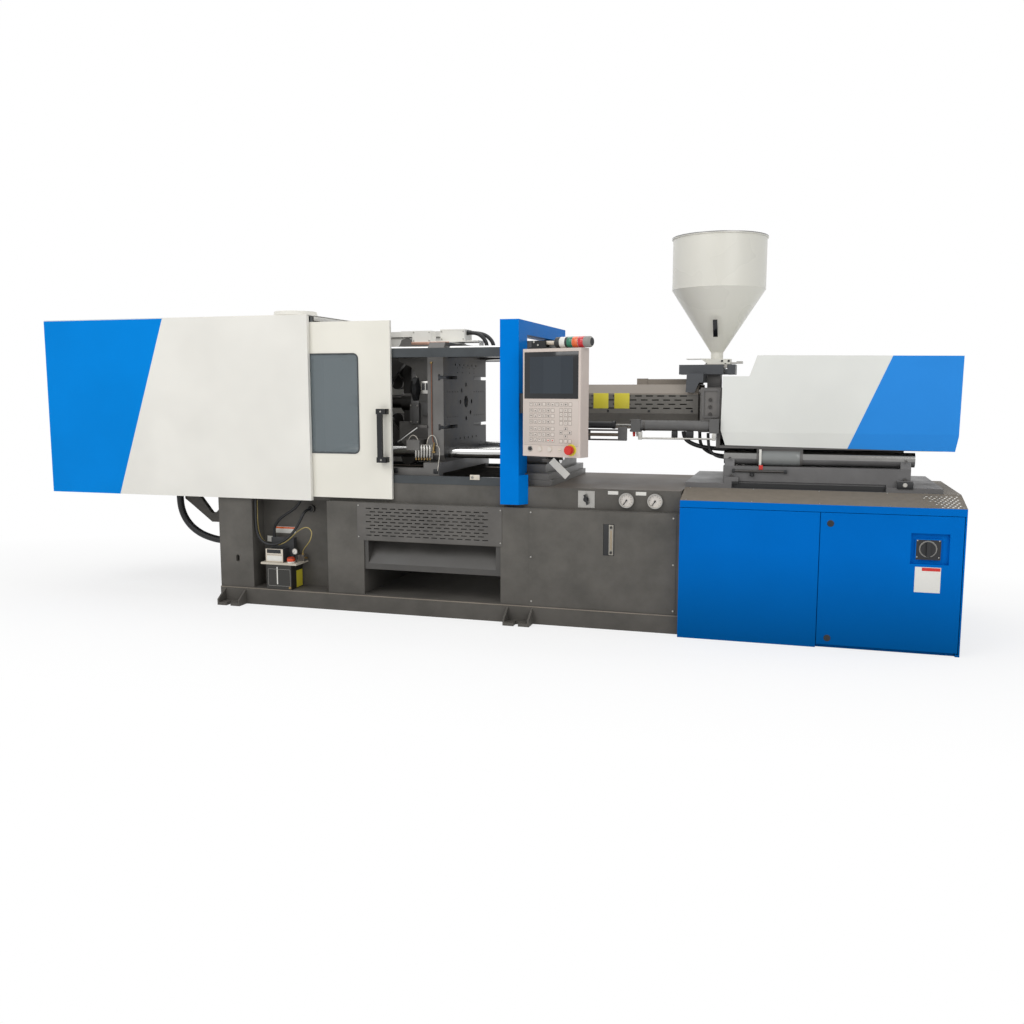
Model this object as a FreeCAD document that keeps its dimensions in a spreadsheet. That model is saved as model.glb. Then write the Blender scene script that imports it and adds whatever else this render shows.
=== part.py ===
# Injection moulding machine, toggle clamp, about six metres long.
# X runs from the clamp end to the injection end, Y away from the operator, Z up from the floor.
# Lengths below are written from the machine's own axis in Y; every sub-part is then set over
# by axis_y, so that the origin lies under the middle of the whole machine.
import FreeCAD, Part
import math
import os
import re
import Sketcher

SIZES = {
    # the machine's axis
    "axis_y": 68, "axis_z": 1370,
    # base weldment
    "base_left": -1663, "base_right": 1460, "base_half": 603, "band_half": 565, "skid_half": 613,
    "skid_width": 90, "skid_top": 112, "band_low": 727, "base_top": 855, "rail_top": 885,
    "recess_left": -1407, "recess_right": -846, "recess_depth": 150,
    "well_left": -590, "well_right": 352, "well_half": 430, "wall": 10,
    "window_low": 118, "window_high": 476, "foot_width": 170, "foot_reach": 90,
    # vent panel
    "vent_left": -627, "vent_right": 361, "vent_low": 480, "vent_high": 724, "panel_thick": 3,
    "slot_long": 38, "slot_high": 6, "slot_pitch": 57, "slot_row": 22,
    # clamp guard
    "cover_left": -3000, "cover_right": -943, "cover_half": 630, "cover_low": 728,
    "cover_top": 1926, "roof_top": 1932, "pan_deep": 30, "sheet": 3, "vent_cap_radius": 153,
    "door_left": -1720, "door_right": -381, "door_front": -596, "door_low": 751, "door_top": 1885,
    "door_deep": 24, "pane_left": -1504, "pane_right": -597, "pane_low": 1035, "pane_top": 1688,
    "column_left": 358, "column_right": 477, "column_rear": 570, "column_low": 748, "column_top": 1875,
    # platens and tie bars
    "platen_face": -82, "fixed_face": 398, "fixed_thick": 200, "platen_thick": 110,
    "platen_half": 435, "platen_rise": 385, "tail_rise": 445, "tail_thick": 250,
    "tie_pitch": 650, "tie_radius": 38, "tie_left": -1700, "run_gap": 0.1,
    "locating_radius": 80, "locating_deep": 25, "sprue_radius": 30,
    "tee_rise": 160, "tee_reach": 260,
    # toggle
    "link": 320, "toggle_angle": 50.2, "pivot_rise": 375, "lug_back": 340, "tail_gap": 100,
    "arm": 220, "arm_angle": 10, "main_pin": 30, "arm_pin": 20, "eye": 45, "small_eye": 33,
    "rod_radius": 45, "cylinder_radius": 130, "cylinder_long": 650, "piston_radius": 110,
    # injection unit
    "barrel_left": 560, "barrel_right": 1640, "barrel_radius": 75, "bore_radius": 27.6,
    "screw_radius": 27.5, "nozzle_left": 430, "front_left": 1538, "front_right": 1660,
    "throat": 1600, "throat_radius": 25, "shroud_left": 789, "shroud_right": 1512, "shroud_half": 230,
    "guide_left": 1687, "guide_right": 2757, "guide_radius": 42, "guide_half": 330, "guide_z": 1050, "bed_low": 897,
    "case_half": 390, "case_sheet": 3, "seat_half": 380, "seat_z": 1235, "seat_rod": 7.5,
    # hopper
    "hopper_radius": 287.5, "hopper_rim": 2390, "hopper_break": 2070, "neck_radius": 38,
    "neck_low": 1643, "neck_top": 1683, "hopper_wall": 3,
    # control panel
    "pivot_x": 763, "pivot_y": -659, "panel_turn": -18, "panel_half": 200, "panel_low": 1060,
    "panel_top": 1690, "panel_front": -140, "panel_back": -40, "lamp_radius": 31.5,
    # electrical cabinet
    "cabinet_left": 1467, "cabinet_right": 3000, "cabinet_front": -677, "cabinet_rear": 753,
    "cabinet_top": 815, "cabinet_door_left": 2250, "cabinet_door_right": 2988,
    # hoses and cables
    "hose_radius": 25, "cable_radius": 9, "tube_radius": 3.5,
}

doc = FreeCAD.newDocument("injection_moulding_machine")
sheet = doc.addObject("Spreadsheet::Sheet", "sizes")
for row, (alias, value) in enumerate(SIZES.items(), start=1):
    sheet.set("A%d" % row, alias)
    sheet.set("B%d" % row, str(value))
    sheet.setAlias("B%d" % row, alias)
doc.recompute()

NODES = {}
TURN_TO = {
    "x": FreeCAD.Rotation(FreeCAD.Vector(0, 1, 0), 90),
    "y": FreeCAD.Rotation(FreeCAD.Vector(1, 0, 0), -90),
    "z": FreeCAD.Rotation(),
}
PLANE_TURN = {
    "XY": FreeCAD.Rotation(),
    "XZ": FreeCAD.Rotation(FreeCAD.Vector(1, 0, 0), 90),
    "YZ": FreeCAD.Rotation(FreeCAD.Vector(1, 1, 1), 120),
}
PLANE_NORMAL = {"XY": "z", "XZ": "y", "YZ": "x"}


# ---- small helpers ---------------------------------------------------------------------------

def formula(text):
    """The text with every size name written as a cell of the sheet."""
    def cell(match):
        word = match.group(0)
        return "sizes." + word if word in SIZES else word
    return re.sub(r"[a-z_]+[a-z0-9_]*", cell, str(text))


def number(text):
    return float(sheet.evalExpression(formula(text)))


def bind(thing, prop, text):
    thing.setExpression(prop, formula(text))


def set_place(thing, x, y, z):
    for axis, text in zip("xyz", (x, y, z)):
        bind(thing, "Placement.Base." + axis, text)


def block(x, y, z):
    """A box between three pairs of bounds."""
    box = doc.addObject("Part::Box", "block")
    for prop, (low, high) in zip(("Length", "Width", "Height"), (x, y, z)):
        bind(box, prop, "(%s) - (%s)" % (high, low))
    set_place(box, x[0], y[0], z[0])
    return box


def rod(axis, start, radius, length):
    """A cylinder that runs from its start along one axis."""
    bar = doc.addObject("Part::Cylinder", "rod")
    bar.Placement = FreeCAD.Placement(FreeCAD.Vector(), TURN_TO[axis])
    bind(bar, "Radius", radius)
    bind(bar, "Height", length)
    set_place(bar, *start)
    return bar


def cone(axis, start, radius, far_radius, length):
    horn = doc.addObject("Part::Cone", "cone")
    horn.Placement = FreeCAD.Placement(FreeCAD.Vector(), TURN_TO[axis])
    bind(horn, "Radius1", radius)
    bind(horn, "Radius2", far_radius)
    bind(horn, "Height", length)
    set_place(horn, *start)
    return horn


def fuse(*things):
    whole = doc.addObject("Part::MultiFuse", "fuse")
    whole.Shapes = list(things)
    return whole


def group(*things):
    whole = doc.addObject("Part::Compound", "group")
    whole.Links = list(things)
    return whole


def cut(base, *tools):
    rest = doc.addObject("Part::Cut", "cut")
    rest.Base = base
    rest.Tool = tools[0] if len(tools) == 1 else fuse(*tools)
    return rest


def hold_point(sketch, geometry, end, x, y):
    """Ties one point of a sketch to two formulas."""
    for kind, text, axis in (("DistanceX", x, -2), ("DistanceY", y, -1)):
        value = number(text)
        if abs(value) < 1e-7:
            sketch.addConstraint(Sketcher.Constraint("PointOnObject", geometry, end, axis))
            continue
        index = sketch.addConstraint(Sketcher.Constraint(kind, -1, 1, geometry, end, value))
        bind(sketch, "Constraints[%d]" % index, text)


def outline(sketch, points):
    """A closed run of straight lines through the points."""
    first = sketch.GeometryCount
    corners = [FreeCAD.Vector(number(x), number(y), 0) for x, y in points]
    count = len(corners)
    for index, corner in enumerate(corners):
        sketch.addGeometry(Part.LineSegment(corner, corners[(index + 1) % count]))
    for index in range(count):
        follower = first + (index + 1) % count
        sketch.addConstraint(Sketcher.Constraint("Coincident", first + index, 2, follower, 1))
    for index, (x, y) in enumerate(points):
        hold_point(sketch, first + index, 1, x, y)


def circle(sketch, x, y, radius):
    centre = FreeCAD.Vector(number(x), number(y), 0)
    index = sketch.addGeometry(Part.Circle(centre, FreeCAD.Vector(0, 0, 1), number(radius)))
    size = sketch.addConstraint(Sketcher.Constraint("Radius", index, number(radius)))
    bind(sketch, "Constraints[%d]" % size, radius)
    hold_point(sketch, index, 3, x, y)


def rectangle(sketch, x, y):
    outline(sketch, [(x[0], y[0]), (x[1], y[0]), (x[1], y[1]), (x[0], y[1])])


def prism(plane, points, low, high):
    """An outline in one of the main planes, drawn out between two levels."""
    sketch = doc.addObject("Sketcher::SketchObject", "profile")
    outline(sketch, points)
    sketch.Placement = FreeCAD.Placement(FreeCAD.Vector(), PLANE_TURN[plane])
    normal = PLANE_NORMAL[plane]
    bind(sketch, "Placement.Base." + normal, low)
    bar = doc.addObject("Part::Extrusion", "prism")
    bar.Base = sketch
    bar.DirMode = "Custom"
    bar.Dir = FreeCAD.Vector(*(1.0 if normal == axis else 0.0 for axis in "xyz"))
    bar.Solid = True
    bind(bar, "LengthFwd", "(%s) - (%s)" % (high, low))
    return bar


def new_body(name):
    return doc.addObject("PartDesign::Body", name)


def new_sketch(body, plane, level="0"):
    """A sketch on one of the body's own planes, set off along the world axis."""
    role = plane + "_Plane"
    support = [f for f in body.Origin.OriginFeatures if f.Role == role][0]
    sketch = body.newObject("Sketcher::SketchObject", "sketch")
    sketch.AttachmentSupport = [(support, "")]
    sketch.MapMode = "FlatFace"
    sign = "-" if plane == "XZ" else ""
    bind(sketch, "AttachmentOffset.Base.z", "%s(%s)" % (sign, level))
    return sketch


def pad(body, sketch, plane, length, forward=True):
    """Adds material towards the positive world axis, or away from it."""
    feature = body.newObject("PartDesign::Pad", "pad")
    feature.Profile = sketch
    feature.Reversed = (plane == "XZ") == forward
    bind(feature, "Length", length)
    body.Tip = feature
    return feature


def pocket(body, sketch, plane, length, forward=True):
    """Takes material away towards the positive world axis, or away from it."""
    feature = body.newObject("PartDesign::Pocket", "pocket")
    feature.Profile = sketch
    feature.Reversed = (plane != "XZ") == forward
    bind(feature, "Length", length)
    body.Tip = feature
    return feature


def origin_axis(body, name):
    return [f for f in body.Origin.OriginFeatures if f.Role == name + "_Axis"][0]


def repeat(body, feature, axis, pitch, count):
    """Repeats a feature at equal steps towards the positive end of one axis."""
    pattern = body.newObject("PartDesign::LinearPattern", "pattern")
    pattern.Originals = [feature]
    pattern.Direction = (origin_axis(body, axis), [""])
    pattern.Mode = "Spacing"
    pattern.Occurrences = count
    bind(pattern, "Offset", pitch)
    body.Tip = pattern
    return pattern


def mirror(body, features, plane):
    twin = body.newObject("PartDesign::Mirrored", "mirror")
    twin.Originals = features
    support = [f for f in body.Origin.OriginFeatures if f.Role == plane + "_Plane"][0]
    twin.MirrorPlane = (support, [""])
    body.Tip = twin
    return twin


def node(name, thing):
    """Names a finished sub-part and sets it over to the machine's axis."""
    thing.Label = name
    bind(thing, "Placement.Base.y", "axis_y")
    NODES[name] = thing


def place_on_panel(name, thing):
    """Names a sub-part of the control panel and swings it about the panel's pivot."""
    thing.Label = name
    thing.Placement = FreeCAD.Placement(FreeCAD.Vector(), FreeCAD.Rotation(FreeCAD.Vector(0, 0, 1), -1))
    bind(thing, "Placement.Rotation.Angle", "-panel_turn")
    thing.Placement.Rotation.Axis = FreeCAD.Vector(0, 0, -1)
    set_place(thing, "pivot_x", "pivot_y + axis_y", "0")
    NODES[name] = thing


def pan(x, z, front, deep, opening=None, lip=25, inward=True):
    """A folded sheet pan: a face at y = front with returned edges, and a window if it has one."""
    edge_x = ("%s + sheet" % x[0], "%s - sheet" % x[1])
    edge_z = ("%s + sheet" % z[0], "%s - sheet" % z[1])
    rear = "%s + %s" % (front, deep) if inward else "%s - (%s)" % (front, deep)
    skin = "%s + sheet" % front if inward else "%s - sheet" % front
    low, high = (front, rear) if inward else (rear, front)
    hollow_y = (skin, "%s + 1" % rear) if inward else ("%s - 1" % rear, skin)
    shell = cut(block(x, (low, high), z), block(edge_x, hollow_y, edge_z))
    if opening:
        shell = cut(shell, block(opening[0], ("%s - 5" % low, "%s + 5" % high), opening[1]))
    lip_x = ("%s + %s" % (x[0], lip), "%s - %s" % (x[1], lip))
    lip_z = ("%s + %s" % (z[0], lip), "%s - %s" % (z[1], lip))
    lip_y = ("%s - sheet" % rear, rear) if inward else (rear, "%s + sheet" % rear)
    gap_y = ("%s - 9" % lip_y[0], "%s + 9" % lip_y[1])
    ring = cut(block(x, lip_y, z), block(lip_x, gap_y, lip_z))
    return fuse(shell, ring)


# ---- base ------------------------------------------------------------------------------------

def bracket_foot(left, side):
    """A bracket foot on the skid: plate, two gussets and an open anchor slot."""
    near, far = ("-skid_half", "-skid_half - foot_reach") if side < 0 else ("skid_half", "skid_half + foot_reach")
    low, high = (far, near) if side < 0 else (near, far)
    plate = block((left, "%s + foot_width" % left), (low, high), ("0", "20"))
    slot_y = (low, "%s + 55" % low) if side < 0 else ("%s - 55" % high, high)
    slot = block(("%s + 70" % left, "%s + 100" % left), slot_y, ("-5", "25"))
    pieces = [cut(plate, slot)]
    for start in ("%s" % left, "%s + foot_width - 12" % left):
        rise = [(near, "18"), (far, "18"), (far, "40"), (near, "100")]
        pieces.append(prism("YZ", rise, start, "%s + 12" % start))
    return pieces


def make_base():
    skids = [
        block(("base_left", "base_right"), ("-skid_half", "skid_width - skid_half"), ("0", "skid_top")),
        block(("base_left", "base_right"), ("skid_half - skid_width", "skid_half"), ("0", "skid_top")),
    ]
    lower = block(("base_left", "base_right"), ("-base_half", "base_half"), ("skid_top", "band_low"))
    band = block(("base_left", "base_right"), ("-band_half", "band_half"), ("band_low", "base_top"))
    recess = block(("recess_left", "recess_right"),
                   ("-skid_half - 1", "recess_depth - base_half"), ("skid_top + 5", "band_low"))
    well = block(("well_left", "well_right"), ("wall - base_half", "base_half - wall"),
                 ("skid_top + 6", "band_low - wall"))
    shaft = block(("well_left + 20", "well_right - 20"), ("-well_half", "well_half"),
                  ("band_low - wall - 1", "base_top + 1"))
    drop_window = block(("well_left + 6", "well_right - 1"), ("-base_half - 1", "wall - base_half + 1"),
                        ("window_low", "window_high"))
    vent_window = block(("-575", "290"), ("-base_half - 1", "wall - base_half + 1"), ("490", "712"))
    eye = fuse(rod("y", ("-1527", "-base_half - 1", "300"), "13", "60"),
               rod("y", ("-1527", "-base_half - 1", "322"), "13", "60"),
               block(("-1540", "-1514"), ("-base_half - 1", "59 - base_half"), ("300", "322")))
    level_slot = block(("1003", "1071"), ("-base_half - 9", "12 - base_half"), ("455", "647"))
    lead_well = block(("-1110", "-1030"), ("-561", "-515"), ("band_low - 1", "790"))
    side_panel = block(("538", "1442"), ("-base_half - panel_thick", "-base_half"), ("108", "722"))
    shell = cut(fuse(lower, band, side_panel), recess, well, shaft, drop_window, vent_window, eye,
                level_slot, lead_well)
    rails = [block(("-1600", "well_right"), span, ("base_top", "rail_top"))
             for span in (("-520", "-440"), ("440", "520"))]
    arm = cut(
        prism("XZ", [("base_left", "506"), ("-1922", "506"), ("-2100", "640"), ("-2140", "668"),
                     ("-2140", "715"), ("base_left", "715")], "-300", "-262"),
        prism("XZ", [("-2020", "690"), ("-1925", "572"), ("-1890", "572"), ("-1840", "620"),
                     ("-1700", "620"), ("-1700", "690")], "-310", "-250"))
    hose_block = block(("-2200", "-2130"), ("-362", "-262"), ("700", "745"))
    hose_port = rod("x", ("base_left - 20", "-330", "376"), "38", "20")
    cable_clamp = block(("-1416", "-1372"), ("-598", "-band_half"), ("738", "748"))
    tube_port = rod("z", ("-1392", "-556", "band_low - 18"), "8", "18")
    wall_port = rod("y", ("-1034", "recess_depth - base_half - 22", "651"), "25", "22")
    lead_port = rod("z", ("-1063", "-540", "770"), "14", "20")
    gauge_cups = []
    for x in ("1137", "1309"):
        cup = rod("y", (x, "-band_half - 25", "792"), "45", "25")
        gauge_cups.append(cut(cup, rod("y", (x, "-band_half - 26", "792"), "39", "13")))
    selector_plate = cut(block(("837", "940"), ("-band_half - 3", "-band_half"), ("738", "841")),
                         rod("y", ("888", "-band_half - 4", "790"), "10.3", "5"))
    feet = []
    for side in (-1, 1):
        for left in ("-1634", "394"):
            feet += bracket_foot(left, side)
    node("base_frame", fuse(*skids, shell, *rails, arm, hose_block, hose_port, cable_clamp, tube_port,
                            wall_port, lead_port, *gauge_cups, selector_plate, *feet))


def make_vent_panel():
    """A sheet with nine staggered rows of slots."""
    body = new_body("vent_panel")
    level = "-base_half - panel_thick"
    sketch = new_sketch(body, "XZ", level)
    rectangle(sketch, ("vent_left", "vent_right"), ("vent_low", "vent_high"))
    pad(body, sketch, "XZ", "panel_thick")
    for start, top, columns, rows in (("-565", "691", 15, 5), ("-565 + slot_pitch / 2", "691 - slot_row", 14, 4)):
        sketch = new_sketch(body, "XZ", level)
        for row in range(rows):
            high = "%s - %d * slot_row" % (top, 2 * row)
            rectangle(sketch, (start, "%s + slot_long" % start), ("%s - slot_high" % high, high))
        column = pocket(body, sketch, "XZ", "panel_thick")
        repeat(body, column, "X", "slot_pitch", columns)
    node("vent_panel", body)


def make_drop_chute():
    """The folded chute behind the drop opening."""
    front = "wall - base_half"
    slope = prism("YZ", [("-430", "545"), (front, "325"), (front, "287"), ("%s + 4" % front, "287"),
                         ("%s + 4" % front, "323"), ("-426", "543")], "-556", "318")
    sides = []
    for low in ("-560", "318"):
        rise = [(front, "287"), ("-430", "545"), ("-430", "562"), (front, "562")]
        sides.append(prism("YZ", rise, low, "%s + 4" % low))
    rim = [block(("-589", "-560"), (front, "%s + 4" % front), ("287", "562")),
           block(("322", "351"), (front, "%s + 4" % front), ("287", "562"))]
    node("drop_chute", fuse(slope, *sides, *rim))


# ---- clamp guard -----------------------------------------------------------------------------

def make_guard():
    wide = ("cover_left", "cover_right")
    tall = ("cover_low", "cover_top")
    node("front_cover", pan(wide, tall, "-cover_half", "pan_deep", lip=22))
    node("rear_cover", pan(wide, tall, "cover_half", "pan_deep", lip=22, inward=False))
    roof = cut(block(("cover_left", "cover_right"), ("5 - cover_half", "cover_half - 5"),
                     ("cover_top", "roof_top")),
               block(("cover_left + sheet", "cover_right + 1"), ("5 + sheet - cover_half",
                     "cover_half - 5 - sheet"), ("cover_top - 1", "roof_top - sheet")))
    end = block(("cover_left", "cover_left + sheet"), ("pan_deep - cover_half", "cover_half - pan_deep"),
                ("cover_low", "cover_top"))
    cap = fuse(rod("z", ("-1370", "0", "roof_top"), "vent_cap_radius - 12", "43"),
               rod("z", ("-1370", "0", "roof_top + 43"), "vent_cap_radius", "12"))
    beams = [block(("cover_left + sheet", "cover_right"), span, ("cover_top", "roof_top - sheet"))
             for span in (("-568", "-530"), ("530", "568"))]
    node("roof_cover", fuse(roof, end, cap, *beams))
    rails = []
    for low, high in (("-568", "-530"), ("530", "568")):
        rails += [block(("-2200", "column_left"), (low, high), ("1655", "1712")),
                  block(("-1640", "column_left"), (low, high), ("base_top", "905"))]
        for left in ("-1640", "-1000"):
            rails.append(block((left, "%s + 50" % left), (low, high), ("905", "cover_top")))
        rails.append(block(("-2200", "-2160"), (low, high), ("1712", "cover_top")))
    node("door_rail", fuse(*rails))


def make_front_door():
    window = (("pane_left", "pane_right"), ("pane_low", "pane_top"))
    skin = pan(("door_left", "door_right"), ("door_low", "door_top"), "door_front", "door_deep",
               opening=window, lip=40)
    reach = ("door_front - 62", "door_front")
    grip = fuse(block(("-452", "-420"), ("door_front - 62", "door_front - 38"), ("1000", "1322")),
                block(("-458", "-394"), reach, ("990", "1024")),
                block(("-458", "-394"), reach, ("1297", "1331")))
    node("front_door", fuse(skin, grip))
    glass = block(("pane_left - 20", "pane_right + 20"), ("door_front + sheet", "door_front + sheet + 5"),
                  ("pane_low - 20", "pane_top + 20"))
    bead = block(("pane_left", "pane_right"), ("door_front + 0.5", "door_front + sheet + 2"),
                 ("pane_low", "pane_top"))
    node("door_window", fuse(glass, bead))


def make_rear_door():
    skin = pan(("door_left", "door_right"), ("door_low + 110", "door_top"), "-door_front", "door_deep",
               lip=40, inward=False)
    grip = fuse(block(("-452", "-420"), ("38 - door_front", "62 - door_front"), ("1000", "1322")),
                block(("-452", "-420"), ("-door_front", "62 - door_front"), ("990", "1014")),
                block(("-452", "-420"), ("-door_front", "62 - door_front"), ("1307", "1331")))
    node("rear_door", fuse(skin, grip))


def make_column():
    """The portal round the fixed platen."""
    step = "-band_half - 2"
    portal = prism("YZ", [("-cover_half", "column_low"), ("-cover_half", "column_top"),
                          ("column_rear", "column_top"), ("column_rear", "base_top + 2"),
                          ("442", "base_top + 2"), ("442", "1790"), ("-442", "1790"),
                          ("-442", "base_top + 2"), (step, "base_top + 2"), (step, "column_low")],
                   "column_left", "column_right")
    skirt = prism("XY", [("column_left", "-cover_half"), ("column_right", "-cover_half"),
                         ("column_right + 43", "-567"), ("column_left", "-567")], "column_low", "930")
    node("column_cover", cut(
        fuse(portal, skirt),
        block(("column_left - 1", "column_left + 12"), ("-568.5", "-529.5"), ("1654.5", "1712.5")),
        block(("column_left - 1", "column_left + 12"), ("529.5", "568.5"), ("1654.5", "1712.5"))))


# ---- platens, tie bars and toggle ------------------------------------------------------------

def platen_face_sketch(body, level, rise):
    """The platen's plate with its corners taken off and four tie bar bores."""
    sketch = new_sketch(body, "YZ", level)
    low, high = "axis_z - %s" % rise, "axis_z + %s" % rise
    outline(sketch, [("45 - platen_half", low), ("platen_half - 45", low), ("platen_half", "%s + 45" % low),
                     ("platen_half", "%s - 45" % high), ("platen_half - 45", high),
                     ("45 - platen_half", high), ("-platen_half", "%s - 45" % high),
                     ("-platen_half", "%s + 45" % low)])
    return sketch


def bore_tie_bars(body, level, depth, radius, forward):
    sketch = new_sketch(body, "YZ", level)
    for y in ("-tie_pitch / 2", "tie_pitch / 2"):
        for z in ("axis_z - tie_pitch / 2", "axis_z + tie_pitch / 2"):
            circle(sketch, y, z, radius)
    pocket(body, sketch, "YZ", depth, forward)


def cut_mounting_face(body, face, into):
    """Tee slots from both edges and the tapped holes in a platen's mounting face."""
    for side in (-1, 1):
        edge = "platen_half * %d" % side
        sketch = new_sketch(body, "XZ", edge)
        for rise in ("-tee_rise", "tee_rise"):
            z = "axis_z + %s" % rise
            outline(sketch, [(face, "%s - 11" % z), ("%s + %d" % (face, 22 * into), "%s - 11" % z),
                             ("%s + %d" % (face, 22 * into), "%s - 19" % z),
                             ("%s + %d" % (face, 38 * into), "%s - 19" % z),
                             ("%s + %d" % (face, 38 * into), "%s + 19" % z),
                             ("%s + %d" % (face, 22 * into), "%s + 19" % z),
                             ("%s + %d" % (face, 22 * into), "%s + 11" % z), (face, "%s + 11" % z)])
        pocket(body, sketch, "XZ", "tee_reach", forward=side < 0)
    sketch = new_sketch(body, "YZ", face)
    for rise in ("-245", "245"):
        circle(sketch, "-210", "axis_z + %s" % rise, "8.5")
    holes = pocket(body, sketch, "YZ", "32", forward=into > 0)
    repeat(body, holes, "Y", "84", 6)
    sketch = new_sketch(body, "YZ", face)
    for y in ("-370", "170"):
        for rise in ("-96", "67"):
            circle(sketch, y, "axis_z + %s" % rise, "5")
    holes = pocket(body, sketch, "YZ", "20", forward=into > 0)
    repeat(body, holes, "Y", "50", 5)
    sketch = new_sketch(body, "YZ", face)
    for y in ("-170", "-75", "75", "170"):
        for rise in ("194", "228"):
            circle(sketch, y, "axis_z + %s" % rise, "5")
    pocket(body, sketch, "YZ", "20", forward=into > 0)


def make_fixed_platen():
    body = new_body("fixed_platen_block")
    pad(body, platen_face_sketch(body, "fixed_face", "platen_rise"), "YZ", "fixed_thick")
    bore_tie_bars(body, "fixed_face", "fixed_thick", "tie_radius", True)
    sketch = new_sketch(body, "YZ", "fixed_face")
    circle(sketch, "0", "axis_z", "locating_radius")
    pocket(body, sketch, "YZ", "locating_deep")
    sketch = new_sketch(body, "YZ", "fixed_face")
    circle(sketch, "0", "axis_z", "sprue_radius")
    pocket(body, sketch, "YZ", "fixed_thick")
    cut_mounting_face(body, "fixed_face", 1)
    rear = "fixed_face + fixed_thick"
    funnel = cone("x", ("fixed_face + 60", "0", "axis_z"), "60", "200", "fixed_thick - 60")
    past = "column_right + 0.5"
    foot = fuse(block(("fixed_face", "650"), ("-440", "440"), ("base_top", "892")),
                block((past, "650"), ("-500", "500"), ("base_top", "892")),
                block((past, "635"), ("-490", "490"), ("892", "932")),
                block(("fixed_face", rear), ("-platen_half", "platen_half"), ("891", "axis_z - platen_rise")))
    seat_rods = []
    for y in ("-seat_half", "seat_half"):
        seat_rods += [rod("x", (rear, y, "seat_z"), "seat_rod", "1560 - (%s)" % rear),
                      rod("x", (rear, y, "seat_z"), "17", "1013 - (%s)" % rear),
                      rod("x", ("1545", y, "seat_z"), "24.5", "25")]
    node("fixed_platen", fuse(cut(body, funnel), foot, *seat_rods))


def make_tie_bars():
    bars = []
    for y in ("-tie_pitch / 2", "tie_pitch / 2"):
        for z in ("axis_z - tie_pitch / 2", "axis_z + tie_pitch / 2"):
            bars.append(fuse(
                rod("x", ("tie_left", y, z), "tie_radius", "fixed_face + fixed_thick + 90 - tie_left"),
                rod("x", ("fixed_face + fixed_thick", y, z), "58", "70")))
    node("tie_bars", group(*bars))


def lug_outline(sketch, plate_x, x, z, radius, spread):
    """A lug: an eye of the given radius that widens towards the plate it stands on."""
    side = 1 if number(plate_x) > number(x) else -1
    outline(sketch, [(x, "%s - %s" % (z, radius)), (plate_x, "%s - %s - %s" % (z, radius, spread)),
                     (plate_x, "%s + %s" % (z, radius)), (x, "%s + %s" % (z, radius)),
                     ("%s - %d * %s * 0.7" % (x, side, radius), "%s + %s * 0.7" % (z, radius)),
                     ("%s - %d * %s" % (x, side, radius), z),
                     ("%s - %d * %s * 0.7" % (x, side, radius), "%s - %s * 0.7" % (z, radius))])


PLATEN_PIVOT = "(platen_face - lug_back)"
TAIL_PIVOT = "(%s - 2 * link * cos(toggle_angle * 1 deg))" % PLATEN_PIVOT
KNEE_X = "(%s + link * cos(toggle_angle * 1 deg))" % TAIL_PIVOT
KNEE_DROP = "(link * sin(toggle_angle * 1 deg))"
CROSSHEAD_X = "(%s + 2 * arm * cos((toggle_angle - arm_angle) * 1 deg))" % TAIL_PIVOT


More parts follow.
